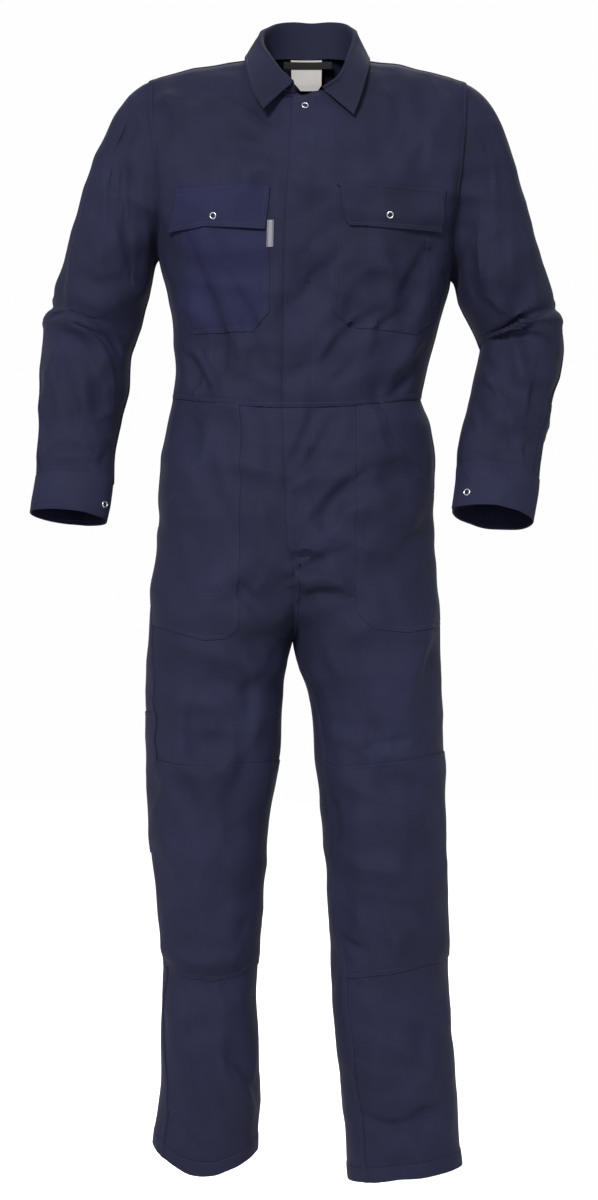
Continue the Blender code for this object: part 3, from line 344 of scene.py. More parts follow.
# Folds of the cloth on the body: a bent line across the front or back as it is seen from there,
# how wide the trough or ridge is, and how deep (ridges are positive).
FOLDS = {
    FRONT: table("""
    x1 z1 x2 z2 x3 z3 width depth
    # the main folds, which the solid has too
    -160 -430 -150 -452 -148 -472 11 -6
    -146 -440 -138 -462 -128 -478 9 -4
    45 -398 35 -425 5 -445 16 3
    100 -405 85 -430 60 -455 16 3
    165 -410 150 -430 137 -450 14 4
    -5 -730 20 -718 42 -706 12 -5
    -2 -742 28 -736 60 -748 12 5
    6 -766 28 -758 56 -760 12 -4
    48 -515 38 -560 -3 -606 18 -3
    64 -620 46 -655 26 -680 16 -4
    176 -818 160 -858 152 -900 16 4
    -95 -1412 -78 -1445 -66 -1475 14 4
    90 -1480 130 -1492 172 -1474 14 -4
    # finer ones on the chest
    -116 -79 -80 -98 -38 -124 15 2.2
    137 -109 124 -142 108 -176 14 -2
    173 -128 171 -150 167 -174 10 -2.4
    39 -222 22 -236 4 -248 14 -2
    30 -327 8 -350 -16 -376 16 -2.6
    78 -274 56 -298 32 -322 16 -2.2
    170 -300 158 -345 140 -385 16 -2.6
    155 -458 145 -473 131 -487 8 -4
    91 -422 74 -444 54 -466 9 -2.6
    28 -420 12 -446 -6 -466 10 -2.4
    -149 -278 -132 -330 -107 -395 13 -2.6
    -135 -262 -112 -310 -85 -385 13 2.4
    -100 -323 -84 -352 -65 -381 11 -2
    -107 -404 -106 -432 -108 -460 13 -2.2
    -172 -330 -166 -362 -164 -392 12 2
    196 -330 190 -372 181 -410 12 2.2
    -60 -430 -66 -452 -70 -476 9 -1.6
    104 -470 108 -484 104 -500 7 -1.6
    # slanting ones on the left chest
    6 -360 16 -334 34 -316 8 -2.2
    0 -306 20 -280 42 -262 9 -2
    38 -432 66 -402 104 -374 11 -2.8
    100 -404 122 -386 146 -372 8 -2
    134 -364 154 -324 176 -290 14 -2.2
    60 -352 76 -330 98 -318 10 1.8
    150 -392 162 -372 174 -346 8 2
    -92 -140 -60 -150 -36 -168 12 -1.6
    # and on the hips and legs
    -14 -584 0 -556 17 -516 7 -2.6
    4 -590 20 -568 40 -524 8 -1.5
    -8 -616 24 -580 52 -536 10 2
    14 -664 44 -632 70 -606 13 -3
    50 -626 92 -596 178 -562 20 -3.4
    34 -646 84 -640 168 -598 20 3
    -10 -712 6 -709 26 -708 5 -2.6
    128 -716 150 -684 176 -654 15 -2.4
    96 -690 124 -662 160 -640 18 2.2
    -40 -700 -60 -740 -90 -770 12 -1.8
    -196 -590 -176 -560 -150 -548 9 -2.2
    -188 -640 -150 -628 -120 -640 14 1.8
    110 -555 92 -618 60 -690 24 1.4
    182 -560 152 -600 118 -640 18 -1.4
    -150 -520 -140 -552 -146 -590 15 -2
    -60 -520 -52 -560 -60 -610 20 2
    -81 -746 -70 -760 -56 -772 7 -1.8
    -98 -752 -84 -768 -70 -782 7 1.4
    -75 -866 -70 -930 -86 -990 22 -2.6
    -150 -880 -160 -930 -158 -985 20 2
    90 -850 84 -905 96 -960 24 -2.2
    95 -968 120 -962 150 -958 8 -2.2
    -120 -1010 -110 -1060 -122 -1120 26 2.4
    -60 -1150 -72 -1200 -92 -1250 18 -2.4
    46 -1046 50 -1068 53 -1090 8 -3
    130 -1030 140 -1090 126 -1150 26 2.4
    176 -1190 184 -1212 192 -1234 11 -2.8
    60 -1234 70 -1241 82 -1245 8 -3
    64 -1300 72 -1296 82 -1298 6 -2
    -160 -1320 -158 -1380 -150 -1445 17 2.2
    -116 -1318 -120 -1390 -112 -1470 18 -2
    76 -1410 130 -1424 196 -1426 16 2.6
    176 -1340 168 -1376 172 -1404 13 -2
    -176 -1480 -150 -1510 -130 -1530 14 -2.4
    100 -1330 112 -1366 108 -1400 16 1.6
"""),
    BACK: table("""
    x1 z1 x2 z2 x3 z3 width depth
    -150 -430 -140 -455 -138 -476 11 -5
    -70 -425 -64 -450 -60 -478 12 -4
    20 -420 22 -450 18 -478 13 -4
    92 -424 88 -450 84 -478 12 -4
    150 -430 142 -455 140 -476 11 -5
    -120 -150 -90 -200 -30 -225 22 4
    130 -160 100 -205 50 -232 22 4
    -40 -790 -70 -845 -110 -862 15 -5
    20 -790 60 -845 100 -858 15 -5
    -180 -1100 -140 -1112 -90 -1100 14 -5
    -175 -1135 -130 -1146 -84 -1138 12 4
    70 -1096 120 -1110 170 -1098 14 -5
    76 -1136 130 -1148 172 -1136 12 4
    # finer ones: over the shoulder blades and the small of the back
    -170 -150 -150 -205 -152 -262 15 -2.6
    184 -166 166 -220 168 -280 15 -2.6
    -70 -110 -40 -122 -6 -124 14 1.8
    96 -116 66 -128 30 -128 14 -1.8
    -132 -300 -104 -352 -96 -402 17 2.6
    140 -296 118 -344 108 -396 17 2.4
    -40 -300 -30 -356 -36 -410 20 -2.4
    48 -310 56 -362 50 -412 18 -2
    -110 -436 -108 -452 -112 -474 8 -3
    -30 -430 -26 -452 -28 -480 8 -3
    -6 -438 -4 -456 -6 -478 7 2
    58 -436 56 -456 54 -476 8 -3
    118 -440 116 -458 112 -478 7 -3
    -92 -442 -90 -458 -88 -476 7 2
    -120 -494 -116 -512 -120 -536 8 -3
    -82 -492 -84 -516 -80 -548 8 -3
    -44 -492 -42 -512 -46 -534 7 -3
    12 -492 10 -516 12 -546 8 -3
    46 -492 48 -510 46 -530 7 -3
    88 -492 90 -516 86 -544 8 -3
    128 -494 126 -512 130 -534 8 -3
    # the seat, the thighs, the hollows of the knees and the calves
    -130 -600 -120 -660 -128 -730 26 3
    120 -596 112 -660 120 -724 26 3
    -20 -640 -48 -700 -60 -768 18 -3
    10 -640 40 -706 56 -772 18 -3
    -44 -826 -84 -874 -130 -888 11 3
    26 -828 70 -876 120 -884 11 3
    -150 -900 -140 -960 -150 -1030 20 -2.4
    150 -906 142 -964 150 -1030 20 -2.4
    -80 -920 -92 -986 -86 -1050 18 2
    80 -930 92 -988 88 -1050 18 2
    -168 -1064 -130 -1076 -92 -1066 10 3
    72 -1066 112 -1074 162 -1064 10 3
    -170 -1172 -136 -1180 -96 -1168 10 -3
    80 -1172 116 -1182 166 -1170 10 -3
    -150 -1230 -140 -1300 -148 -1370 20 2.4
    150 -1226 140 -1296 148 -1370 20 2.4
    -100 -1280 -108 -1360 -100 -1440 17 -2
    96 -1290 104 -1366 98 -1450 17 -2
    -180 -1450 -130 -1464 -90 -1454 13 -3
    86 -1462 130 -1472 186 -1460 13 -3
"""),
}
# Folds of the sleeves: degrees round the arm and the level of three points on each.
SLEEVE_FOLDS = {
    RIGHT: table("""
    a1 l1 a2 l2 a3 l3 width depth
    20 3.5 95 2.7 190 2.8 15 -3.2
    30 4.3 85 3.3 185 3.3 14 2.4
    25 0.9 60 0.95 95 1.3 15 -2
    200 3.0 265 3.2 340 3.7 15 -2
    # finer ones
    67 0.35 44 0.45 20 0.62 11 -3
    70 0.5 64 0.68 56 0.88 9 -2.4
    98 1.12 62 0.98 20 1.22 9 2.6
    108 0.5 104 0.72 96 0.95 12 2
    112 1.6 100 2.0 84 2.3 16 2
    150 1.2 146 1.8 138 2.4 16 -2.2
    150 3.4 84 3.75 35 5.6 9 3
    60 3.35 48 3.8 34 4.3 7 -4
    145 3.15 88 2.9 38 4.1 7 -2.8
    100 3.9 80 4.6 60 5.4 14 -2.4
    130 4.2 124 5.0 118 5.8 16 2
    20 5.35 34 5.5 56 5.4 8 -3
    14 5.9 34 6.1 60 6.5 9 2.4
    96 5.8 88 6.4 92 7.0 13 -2
    132 7.4 106 7.3 82 7.38 10 -1.4
    72 7.35 60 7.55 50 7.5 6 2
    120 7.6 96 7.7 70 7.65 9 1
    24 7.2 36 7.5 48 7.8 6 -2
    150 6.6 146 7.1 140 7.6 9 1.6
    # the elbow and the back of the arm
    196 2.55 250 2.62 318 3.0 11 3
    204 3.5 262 3.78 330 4.3 11 3.2
    210 4.1 256 4.3 310 4.9 12 -3
    230 5.2 250 5.9 262 6.6 14 -2.2
    190 5.6 200 6.2 204 6.9 12 2
    290 5.6 300 6.3 296 7.0 12 2
    230 1.2 236 1.7 246 2.2 16 -2.4
    290 1.0 280 1.5 284 2.1 14 2.2
    210 7.5 244 7.6 280 7.45 8 -3
    300 7.7 320 7.6 338 7.7 7 -2.4
"""),
    LEFT: table("""
    a1 l1 a2 l2 a3 l3 width depth
    30 3.3 100 2.6 190 2.7 15 -3
    25 4.2 90 3.3 180 3.2 14 2
    200 3.0 265 3.2 340 3.7 15 -2
    # finer ones
    33 0.36 56 0.62 66 1.0 10 3
    24 0.42 42 0.7 50 1.0 9 -2.6
    64 0.9 72 1.3 76 1.75 13 2.4
    100 0.7 96 1.2 92 1.7 15 -2
    130 1.1 124 1.6 120 2.1 15 2
    134 2.35 90 2.5 62 2.9 10 -1.8
    122 2.95 70 3.25 18 4.1 10 2
    60 3.05 40 3.45 22 4.0 9 -1.8
    138 4.1 92 3.98 52 4.4 10 -2.4
    118 3.5 84 3.42 50 3.7 9 1.6
    24 4.5 36 4.9 56 5.15 6 -3.6
    31 5.15 50 5.5 72 5.95 8 3
    80 4.6 92 5.2 96 5.8 16 2
    118 5.0 124 5.8 122 6.6 15 -2.2
    28 6.1 46 6.5 60 7.0 8 -2.6
    88 6.3 96 6.8 98 7.3 12 2
    60 7.3 88 7.42 118 7.3 12 -1.3
    34 6.7 52 6.95 70 6.9 9 1.8
    132 7.2 126 7.5 130 7.8 8 -2
    # the elbow and the back of the arm
    196 2.5 250 2.6 318 3.0 11 3
    204 3.5 262 3.8 330 4.35 11 3.2
    210 4.15 256 4.35 310 4.95 12 -3
    226 5.3 246 6.0 258 6.7 14 -2.2
    190 5.5 198 6.2 202 6.8 12 2
    290 5.5 298 6.2 294 7.0 12 2
    234 1.1 240 1.6 250 2.2 16 -2.4
    286 1.0 278 1.5 282 2.0 14 2.2
    214 7.5 246 7.62 284 7.45 8 -3
    304 7.7 322 7.62 340 7.7 7 -2.4
"""),
}


# ---------------------------------------------------------------- the surface


def hermite(t, start, leave, end, arrive):
    """A smooth way from start to end, with its slopes at both."""
    return (
        (2 * t**3 - 3 * t**2 + 1) * start + (t**3 - 2 * t**2 + t) * leave
        + (3 * t**2 - 2 * t**3) * end + (t**3 - t**2) * arrive
    )


def smooth_line(keys, values, at):
    slopes = np.gradient(values, keys)
    at = np.clip(np.asarray(at, float), keys[0], keys[-1])
    i = np.clip(np.searchsorted(keys, at) - 1, 0, len(keys) - 2)
    step = keys[i + 1] - keys[i]
    return hermite((at - keys[i]) / step, values[i], step * slopes[i], values[i + 1], step * slopes[i + 1])


def read(rows, name, at, key="level"):
    """A column of a table at any key, as one smooth line through its rows."""
    return smooth_line(rows[key], rows[name], at)


def point_of(rows, at, columns=("x", "y", "z"), key="level"):
    """The point whose coordinates are three columns of a table."""
    return np.stack([read(rows, name, at, key) for name in columns], axis=-1)


def fly(name, z):
    """A column of the fly's table, straight from row to row."""
    return np.interp(z, FLY["z"], FLY[name])


def unit(v):
    return v / np.maximum(np.linalg.norm(v, axis=-1, keepdims=True), 1e-9)


def ease(t):
    t = np.clip(t, 0, 1)
    return t * t * (3 - 2 * t)


def section(x_centre, x_reach, y_side, y_middle, z_side, z_middle, angle):
    """A point of a cross-section; angle is 0 at the side seam and 90 degrees at the middle."""
    across = np.cos(angle)
    round_off = np.maximum(1 - np.abs(across) ** SQUARENESS, 0) ** (1 / SQUARENESS)
    x = x_centre + x_reach * across
    y = y_side + (y_middle - y_side) * round_off
    z = z_side + (z_middle - z_side) * np.sin(angle) ** 2
    return np.stack(np.broadcast_arrays(x, y, z), axis=-1)


def bodice(side, half, level, angle):
    face = "front" if half == FRONT else "back"
    centre = read(MIDDLE, "x", level)
    return section(
        centre,
        read(SIDE[side], "x", level) - centre,
        read(ARMHOLE, face + "_y", np.maximum(level, UNDERARM)),
        read(MIDDLE, face + "_y", level),
        read(SIDE[side], "z", level),
        read(MIDDLE, face + "_z", level),
        angle,
    )


def trousers(side, half, level, angle):
    seams = LEG_SEAMS[side]
    inner, outer = read(seams, "in_x", level), read(seams, "out_x", level)
    split = np.clip(read(TROUSERS, "split", level), 0, 1)
    reach = (outer - inner) * (1 - split / 2)
    outer_z, inner_z = read(seams, "out_z", level), read(seams, "in_z", level)
    side_z = (outer_z + inner_z) / 2 + (outer_z - inner_z) / 2 * np.cos(angle)
    in_front = (np.sin(angle) >= 0) == (half == FRONT)
    drop = {
        face: read(TROUSERS, face + "_drop", level) + HEM_DROP[side][face] * np.clip(level - 19, 0, 1)
        for face in ("front", "back")
    }
    middle_y = np.where(in_front, read(TROUSERS, "front_y", level), read(TROUSERS, "back_y", level))
    middle_z = side_z - np.where(in_front, drop["front"], drop["back"])
    return section(outer - reach, reach, 0.0, middle_y, side_z, middle_z, angle)


def angle_at(part, side, half, level, x):
    """The angle at which a level of the bodice or trousers reaches x."""
    outer = part(side, half, level, 0.0)[..., 0]
    if part is bodice:
        centre = read(MIDDLE, "x", level)
    else:
        split = np.clip(read(TROUSERS, "split", level), 0, 1)
        centre = outer - (outer - read(LEG_SEAMS[side], "in_x", level)) * (1 - split / 2)
    return np.arccos(np.clip((x - centre) / (outer - centre), -1, 1))


def inner_edge(part, side, half, level):
    """x of the edge of a front or back piece that is nearer to the middle."""
    if part is trousers:
        seam = read(LEG_SEAMS[side], "in_x", level)
        if half == BACK:
            return seam
        z = read(LEG_SEAMS[side], "out_z", level) - read(TROUSERS, "front_drop", level)
        edge = fly("edge", z)
        lapped = edge if side == LEFT else edge + UNDERLAP * fly("underlap", z)
        return lapped + (seam - lapped) * ease((level - CROTCH + 2) / 2)
    centre = read(MIDDLE, "x", level)
    if half == BACK:
        start, edge = NECK_BACK, centre
    else:
        start, edge = NECK_FRONT, fly("edge", read(MIDDLE, "front_z", level))
        edge = edge if side == LEFT else edge + UNDERLAP
    climb = np.clip((level - start) / (SHOULDER - start), 0, 1)
    neck_point = centre + side * NECK_HALF_WIDTH
    return edge + (neck_point - edge) * np.sqrt(1 - (1 - climb) ** 2)


def fold_height(rows, names, scale, u, v):
    """How far the folds of a table move the cloth at (u, v): steep on one side, shallow on the
    other, and fading at their ends."""
    total = np.zeros(np.broadcast(u, v).shape)
    for i, (width, depth) in enumerate(zip(rows["width"], rows["depth"])):
        a, b, c = (np.array([rows[n + str(k)][i] for n in names]) * scale for k in (1, 2, 3))
        t = np.linspace(0, 1, FOLD_SAMPLES)[:, None]
        line = (1 - t) ** 2 * a + 2 * t * (1 - t) * (2 * b - (a + c) / 2) + t**2 * c
        low, high = line.min(0) - FOLD_REACH * width, line.max(0) + FOLD_REACH * width
        near = (u > low[0]) & (u < high[0]) & (v > low[1]) & (v < high[1])
        if not near.any():
            continue
        x, y = np.broadcast_to(u, total.shape)[near], np.broadcast_to(v, total.shape)[near]
        best, along, reach = np.full(x.shape, np.inf), np.zeros(x.shape), np.zeros(x.shape)
        for k, (p, q) in enumerate(zip(line[:-1], line[1:])):
            d = q - p
            s = np.clip(((x - p[0]) * d[0] + (y - p[1]) * d[1]) / (d @ d), 0, 1)
            far = (x - p[0] - s * d[0]) ** 2 + (y - p[1] - s * d[1]) ** 2
            side = (x - p[0]) * d[1] - (y - p[1]) * d[0]
            along = np.where(far < best, (k + s) / (len(line) - 1), along)
            reach = np.where(far < best, np.maximum(np.where(side < 0, STEEP, SHALLOW) * width, CELL), reach)
            best = np.minimum(best, far)
        fade = np.sin(np.pi * np.clip(FOLD_END + (1 - 2 * FOLD_END) * along, 0, 1)) ** 0.7
        total[near] += FOLD_GAIN * depth * fade * np.exp(-best / reach**2)
    return total


def body_folds(half, points, angle):
    """The folds of the front and back, which die away at the sides of the body and the legs."""
    in_front = (np.sin(angle) >= 0) == (half == FRONT)
    x, z = points[..., 0], points[..., 2]
    front, back = (fold_height(FOLDS[face], "xz", 1.0, x, z) for face in (FRONT, BACK))
    return np.where(in_front, front, back) * np.clip(FOLD_FADE * np.abs(np.sin(angle)), 0, 1)


def sleeve_ring(side, level, angle):
    """A point of a ring square to the sleeve's centre line, and the way out from that line."""
    rows, small = SLEEVE[side], 0.05
    ahead = point_of(rows, np.minimum(level + small, CUFF_END))
    axis = unit(ahead - point_of(rows, np.maximum(level - small, 1)))
    inward = np.array((-side, 0.0, 0.0))
    inward = unit(inward - (axis @ inward)[..., None] * axis)
    forward = np.cross(axis, inward) * side
    forward *= np.where(forward[..., 1:2] > 0, -1, 1)
    width, depth = read(rows, "width", level), read(rows, "depth", level)
    across = (width * np.cos(angle))[..., None] * inward + (depth * np.sin(angle))[..., None] * forward
    return point_of(rows, level) + across, unit(across)


def armhole(side, turn):
    """The armhole seam; turn runs from 0 at the underarm over the shoulder (1) and back to 2."""
    half_turn = np.where(turn <= 1, turn, 2 - turn)
    level = np.interp(half_turn, np.linspace(0, 1, len(UPPER)), UPPER)
    front, back = bodice(side, FRONT, level, 0.0), bodice(side, BACK, level, 0.0)
    return np.where((turn <= 1)[..., None], front, back)


def sleeve(side, level, turn):
    """A point of a sleeve, by its level and its place round the armhole."""
    hind = np.radians(read(HIND_SEAM, "angle", level))
    before = hind * turn / HIND_TURN
    behind = hind + (2 * math.pi - hind) * (turn - HIND_TURN) / (2 - HIND_TURN)
    even = np.where(turn <= HIND_TURN, before, behind)
    head = np.clip(level, 0, 1)
    angle = even * head + (1 - head) * turn * math.pi
    start = armhole(side, turn)
    ring, out = sleeve_ring(side, np.maximum(level, 1.0), angle)
    first, second = (np.array([SLEEVE[side][c][k] for c in "xyz"]) for k in (0, 1))
    far = np.linalg.norm(ring - start, axis=-1, keepdims=True)
    leave = unit(np.array((side, 0.0, -0.3))) * far * CAP_SWELL
    arrive = unit(second - first) * far * CAP_FALL
    cap = hermite(head[..., None], start, leave, ring, arrive)
    points = np.where((level < 1)[..., None], cap, ring)
    scale = np.array((math.radians(ARM_ROUND), ARM_LEVEL))
    round_arm, down_arm = angle * ARM_ROUND, level * ARM_LEVEL
    height = fold_height(SLEEVE_FOLDS[side], "al", scale, round_arm, down_arm)
    height *= np.clip(FOLD_FADE * (1 - np.cos(angle)), 0, 1)
    height *= np.clip((SLEEVE_END - level) * 2.5, 0, 1) * np.clip(level * 2, 0, 1)
    return points + height[..., None] * out


def body_point(part, side, half, level, share):
    """A point of a body panel, without its folds; share is 0 at the inner edge, 1 at the side."""
    first = angle_at(part, side, half, level, inner_edge(part, side, half, level))
    last = np.zeros_like(first)
    if part is trousers:
        ahead = 1 if half == FRONT else -1
        turned = {name: np.radians(read(LEG_TURN[side], name, level)) for name in ("outseam", "inseam")}
        first = np.where(level >= CROTCH, math.pi - ahead * turned["inseam"], first)
        last = ahead * turned["outseam"]
    angle = first + (last - first) * share
    return part(side, half, level, angle), angle


def out_of(grid, core):
    """Outward normals of a grid; core is a point of the hollow that it surrounds."""
    normal = unit(np.cross(np.gradient(grid, axis=0), np.gradient(grid, axis=1)))
    return normal if ((grid - core) * normal).sum() > 0 else -normal


def folded(part, side, half, level, share, core):
    """Points of a body panel with its folds, and the fly's lift on the left front."""
    points, angle = body_point(part, side, half, level, share)
    points = points + body_folds(half, points, angle)[..., None] * out_of(points, core)
    if half == FRONT and side == LEFT:
        x, z = points[..., 0], points[..., 2]
        rise = ease((fly("edge", z) + FLY_WIDTH - x) / (FLY_WIDTH - UNDERLAP))
        points[..., 1] -= FLY_LIFT * fly("lift", z) * rise
    elif half == FRONT:
        beside = (points[..., 0] - fly("edge", points[..., 2]) + 1.5) / FLY_HOLLOW_WIDTH
        points[..., 1] += FLY_HOLLOW * fly("lift", points[..., 2]) * np.exp(-(beside**2))
    return points


rng = np.random.default_rng(7)
WAVE_SIZE, CRUMPLE_SIZE = 0.16, 0.05
WAVES, CRUMPLES = [], []
for length in np.geomspace(38, 170, 18):
    direction = unit(rng.normal(size=3) * (1.0, 1.0, 0.8))
    phase = rng.uniform(0, 2 * math.pi)
    WAVES.append((2 * math.pi / length * direction, phase, WAVE_SIZE * (length / 38) ** 0.75))
for length in np.geomspace(42, 105, 14):
    across, along, patch_way = (unit(rng.normal(size=3) * (1.0, 0.6, 1.0)) for _ in range(3))
    along = 2 * math.pi / rng.uniform(120, 200) * along
    patch_way = 2 * math.pi / rng.uniform(190, 330) * patch_way
    phases = rng.uniform(0, 2 * math.pi, 3)
    CRUMPLES.append((math.pi / length * across, along, patch_way, phases, CRUMPLE_SIZE * length))


def unevenness(points, normals):
    """The unevenness of worn twill: slow waves, and patches of soft crumples with sharper ridges.
    It is the same for neighbouring pieces along a seam, and slighter at the sides."""
    height = np.zeros(points.shape[:-1])
    for wave, phase, size in WAVES:
        height += size * np.sin(points @ wave + phase)
    for across, along, patch_way, (start, bend, where), size in CRUMPLES:
        ridge = np.sin(points @ across + start + 0.7 * np.sin(points @ along + bend))
        strength = np.clip(np.sin(points @ patch_way + where) - 0.1, 0, 1)
        height += size * strength * (0.5 - np.sqrt(ridge**2 + 0.015))
    return height * (0.3 + 1.3 * np.abs(normals[..., 1]) ** 1.5)


# ---------------------------------------------------------------- from surfaces to cloth

pieces = {}  # name -> its finished good side: grid, normal, and the layers of its mesh


def lengths(grid):
    """How far each point of a grid is from the first one of its row, along the cloth."""
    steps = np.linalg.norm(np.diff(grid, axis=1), axis=-1)
    return np.concatenate([np.zeros((len(grid), 1)), np.cumsum(steps, axis=1)], axis=1)


def flat_map(grid):
    """A sheet's flat coordinates in metres: across and along the cloth."""
    across = lengths(grid)
    across -= across[:, :1] + across[:, -1:] / 2
    along = lengths(grid.swapaxes(0, 1)).T
    return np.stack([across, np.broadcast_to(along.mean(1, keepdims=True), across.shape)], axis=-1) * MM


def facing(grid, border):
    """A grid turned so that a border is its first column."""
    turned = {
        "inner": grid,
        "outer": grid[:, ::-1],
        "first": grid.swapaxes(0, 1),
        "last": grid[::-1].swapaxes(0, 1),
    }
    return turned[border]


def far_from(grid):
    """How far each point of a grid lies from each of its borders, along the cloth."""
    return {
        "inner": lengths(grid),
        "outer": lengths(grid[:, ::-1])[:, ::-1],
        "first": lengths(grid.swapaxes(0, 1)).T,
        "last": lengths(grid[::-1].swapaxes(0, 1)).T[::-1],
    }


def walk_in(piece, border, distances):
    """Points and normals at some distances in from a border, along the cloth."""
    grid, normal = facing(piece["grid"], border), facing(piece["normal"], border)
    far = lengths(grid)
    spots = np.empty((len(grid), len(distances), 3))
    sides = np.empty_like(spots)
    for row in range(len(grid)):
        for axis in range(3):
            spots[row, :, axis] = np.interp(distances, far[row], grid[row, :, axis])
            sides[row, :, axis] = np.interp(distances, far[row], normal[row, :, axis])
    return spots, unit(sides)


# A flat-felled seam: how far in from the seam line, and how high over the panel.
FELLED = [
    (0, 0.1), (0.25, 1.2), (1.1, 1.5), (1.8, 0.95), (2.5, 1.5), (4.3, 1.65), (6.1, 1.5), (6.8, 0.95),
    (7.5, 1.5), (8.5, 1.2), (8.8, 0),
]
FELLED_ROWS = (1.8, 6.8)
HEMMED = [
    (0, -0.3), (0.3, 0.7), (1.5, 0.95), (7, 1.0), (13, 1.0), (18.4, 0.9), (19.2, 0.5), (20, 0.9),
    (21.4, 0.8), (21.8, 0),
]
HEMMED_ROWS = (19.2,)


def band(name, border, first=0, last=None, profile=FELLED, stitch_rows=FELLED_ROWS):
    """A seam band or hem on a panel, with its rows of stitches."""
    piece = pieces[name]
    distances, heights = np.array(profile).T
    spots, sides = walk_in(piece, border, distances)
    spots, sides = spots[first:last], sides[first:last]
    raised = spots + heights[None, :, None] * sides
    piece["layers"].append((raised, sides, flat_map(raised)))
    for k in (int(np.argmin(np.abs(distances - d))) for d in stitch_rows):
        piece["runs"].append(trim(raised[:, k] + BAND_THREAD_LIFT * sides[:, k], sides[:, k]))


def trim(points, normals, start=0.0, end=0.0):
    """A run without its first and last millimetres."""
    far = lengths(points[None])[0]
    inside = np.linspace(start, far[-1] - end, max(len(points), 2))
    points = np.stack([np.interp(inside, far, points[:, k]) for k in range(3)], axis=-1)
    normals = np.stack([np.interp(inside, far, normals[:, k]) for k in range(3)], axis=-1)
    return points, unit(normals)


def stitched(piece, border, distance, start=0.0, end=0.0):
    spots, sides = walk_in(piece, border, [distance])
    piece["runs"].append(trim(spots[:, 0] + THREAD_LIFT * sides[:, 0], sides[:, 0], start, end))


def metres(points):
    return (np.asarray(points) - NAPE) * MM


def grid_mesh(grid, normal, flat):
    """A mesh laid on rows of points, with its flat map, its faces turned to the good side."""
    rows, columns = grid.shape[:2]
    bm = bmesh.new()
    bm.loops.layers.uv.new("UVMap")
    bmesh.ops.create_grid(bm, x_segments=columns - 1, y_segments=rows - 1, size=0.5, calc_uvs=True)
    mesh = bpy.data.meshes.new("layer")
    bm.to_mesh(mesh)
    bm.free()
    spots = np.empty(len(mesh.vertices) * 3)
    mesh.vertices.foreach_get("co", spots)
    spots = spots.reshape(-1, 3) + 0.5
    column = np.rint(spots[:, 0] * (columns - 1)).astype(int)
    row = np.rint(spots[:, 1] * (rows - 1)).astype(int)
    mesh.vertices.foreach_set("co", metres(grid[row, column]).ravel())
    corner = np.empty(len(mesh.loops), int)
    mesh.loops.foreach_get("vertex_index", corner)
    mesh.uv_layers["UVMap"].data.foreach_set("uv", flat[row[corner], column[corner]].ravel())
    mesh.update()
    turned = np.empty(len(mesh.vertices) * 3)
    mesh.vertices.foreach_get("normal", turned)
    if (turned.reshape(-1, 3) * normal[row, column]).sum() < 0:
        mesh.flip_normals()
    return mesh


def mesh_of(bm, name, material=None):
    mesh = bpy.data.meshes.new(name)
    bm.to_mesh(mesh)
    bm.free()
    if material:
        mesh.materials.append(material)
    return mesh


def placed(name, data):
    """A new object in the scene, at the origin."""
    thing = bpy.data.objects.new(name, data)
    bpy.context.collection.objects.link(thing)
    return thing


def applied(piece):
    """Makes a piece's modifiers real and shades it smooth; returns its new mesh."""
    graph = bpy.context.evaluated_depsgraph_get()
    mesh = bpy.data.meshes.new_from_object(piece.evaluated_get(graph))
    piece.modifiers.clear()
    old, piece.data = piece.data, mesh
    bpy.data.meshes.remove(old)
    mesh.name = piece.name
    mesh.shade_smooth()
    return mesh


def sheet_object(name, layers, thickness, material):
    """One piece of cloth from its layers, welded where two halves meet, and given its thickness."""
    bm = bmesh.new()
    bm.loops.layers.uv.new("UVMap")
    for layer in layers:
        mesh = grid_mesh(*layer)
        bm.from_mesh(mesh)
        bpy.data.meshes.remove(mesh)
    bmesh.ops.remove_doubles(bm, verts=bm.verts, dist=1e-6)
    piece = placed(name, mesh_of(bm, name, material))
    wall = piece.modifiers.new("wall", "SOLIDIFY")
    wall.thickness = thickness * MM
    wall.offset = -1
    wall.use_rim = True
    applied(piece).set_sharp_from_angle(angle=RIM_ANGLE)
    return piece


def stitch_shape():
    """One stitch of sewing thread, lying along X: a short round dash with drawn-in ends."""
    bm = bmesh.new()
    bmesh.ops.create_cone(
        bm, cap_ends=True, cap_tris=True, segments=5, radius1=STITCH_RADIUS * MM,
        radius2=STITCH_RADIUS * MM, depth=STITCH_LENGTH * 0.55 * MM,
    )
    for vert in bm.verts:
        if Vector(vert.co[:2]).length < STITCH_RADIUS * MM / 2:
            vert.co.z = math.copysign(STITCH_LENGTH / 2 * MM, vert.co.z)
    bmesh.ops.rotate(bm, verts=bm.verts, matrix=Matrix.Rotation(math.pi / 2, 3, "Y"))
    mesh = mesh_of(bm, "stitch", THREAD)
    mesh.shade_smooth()
    return placed("stitch", mesh)


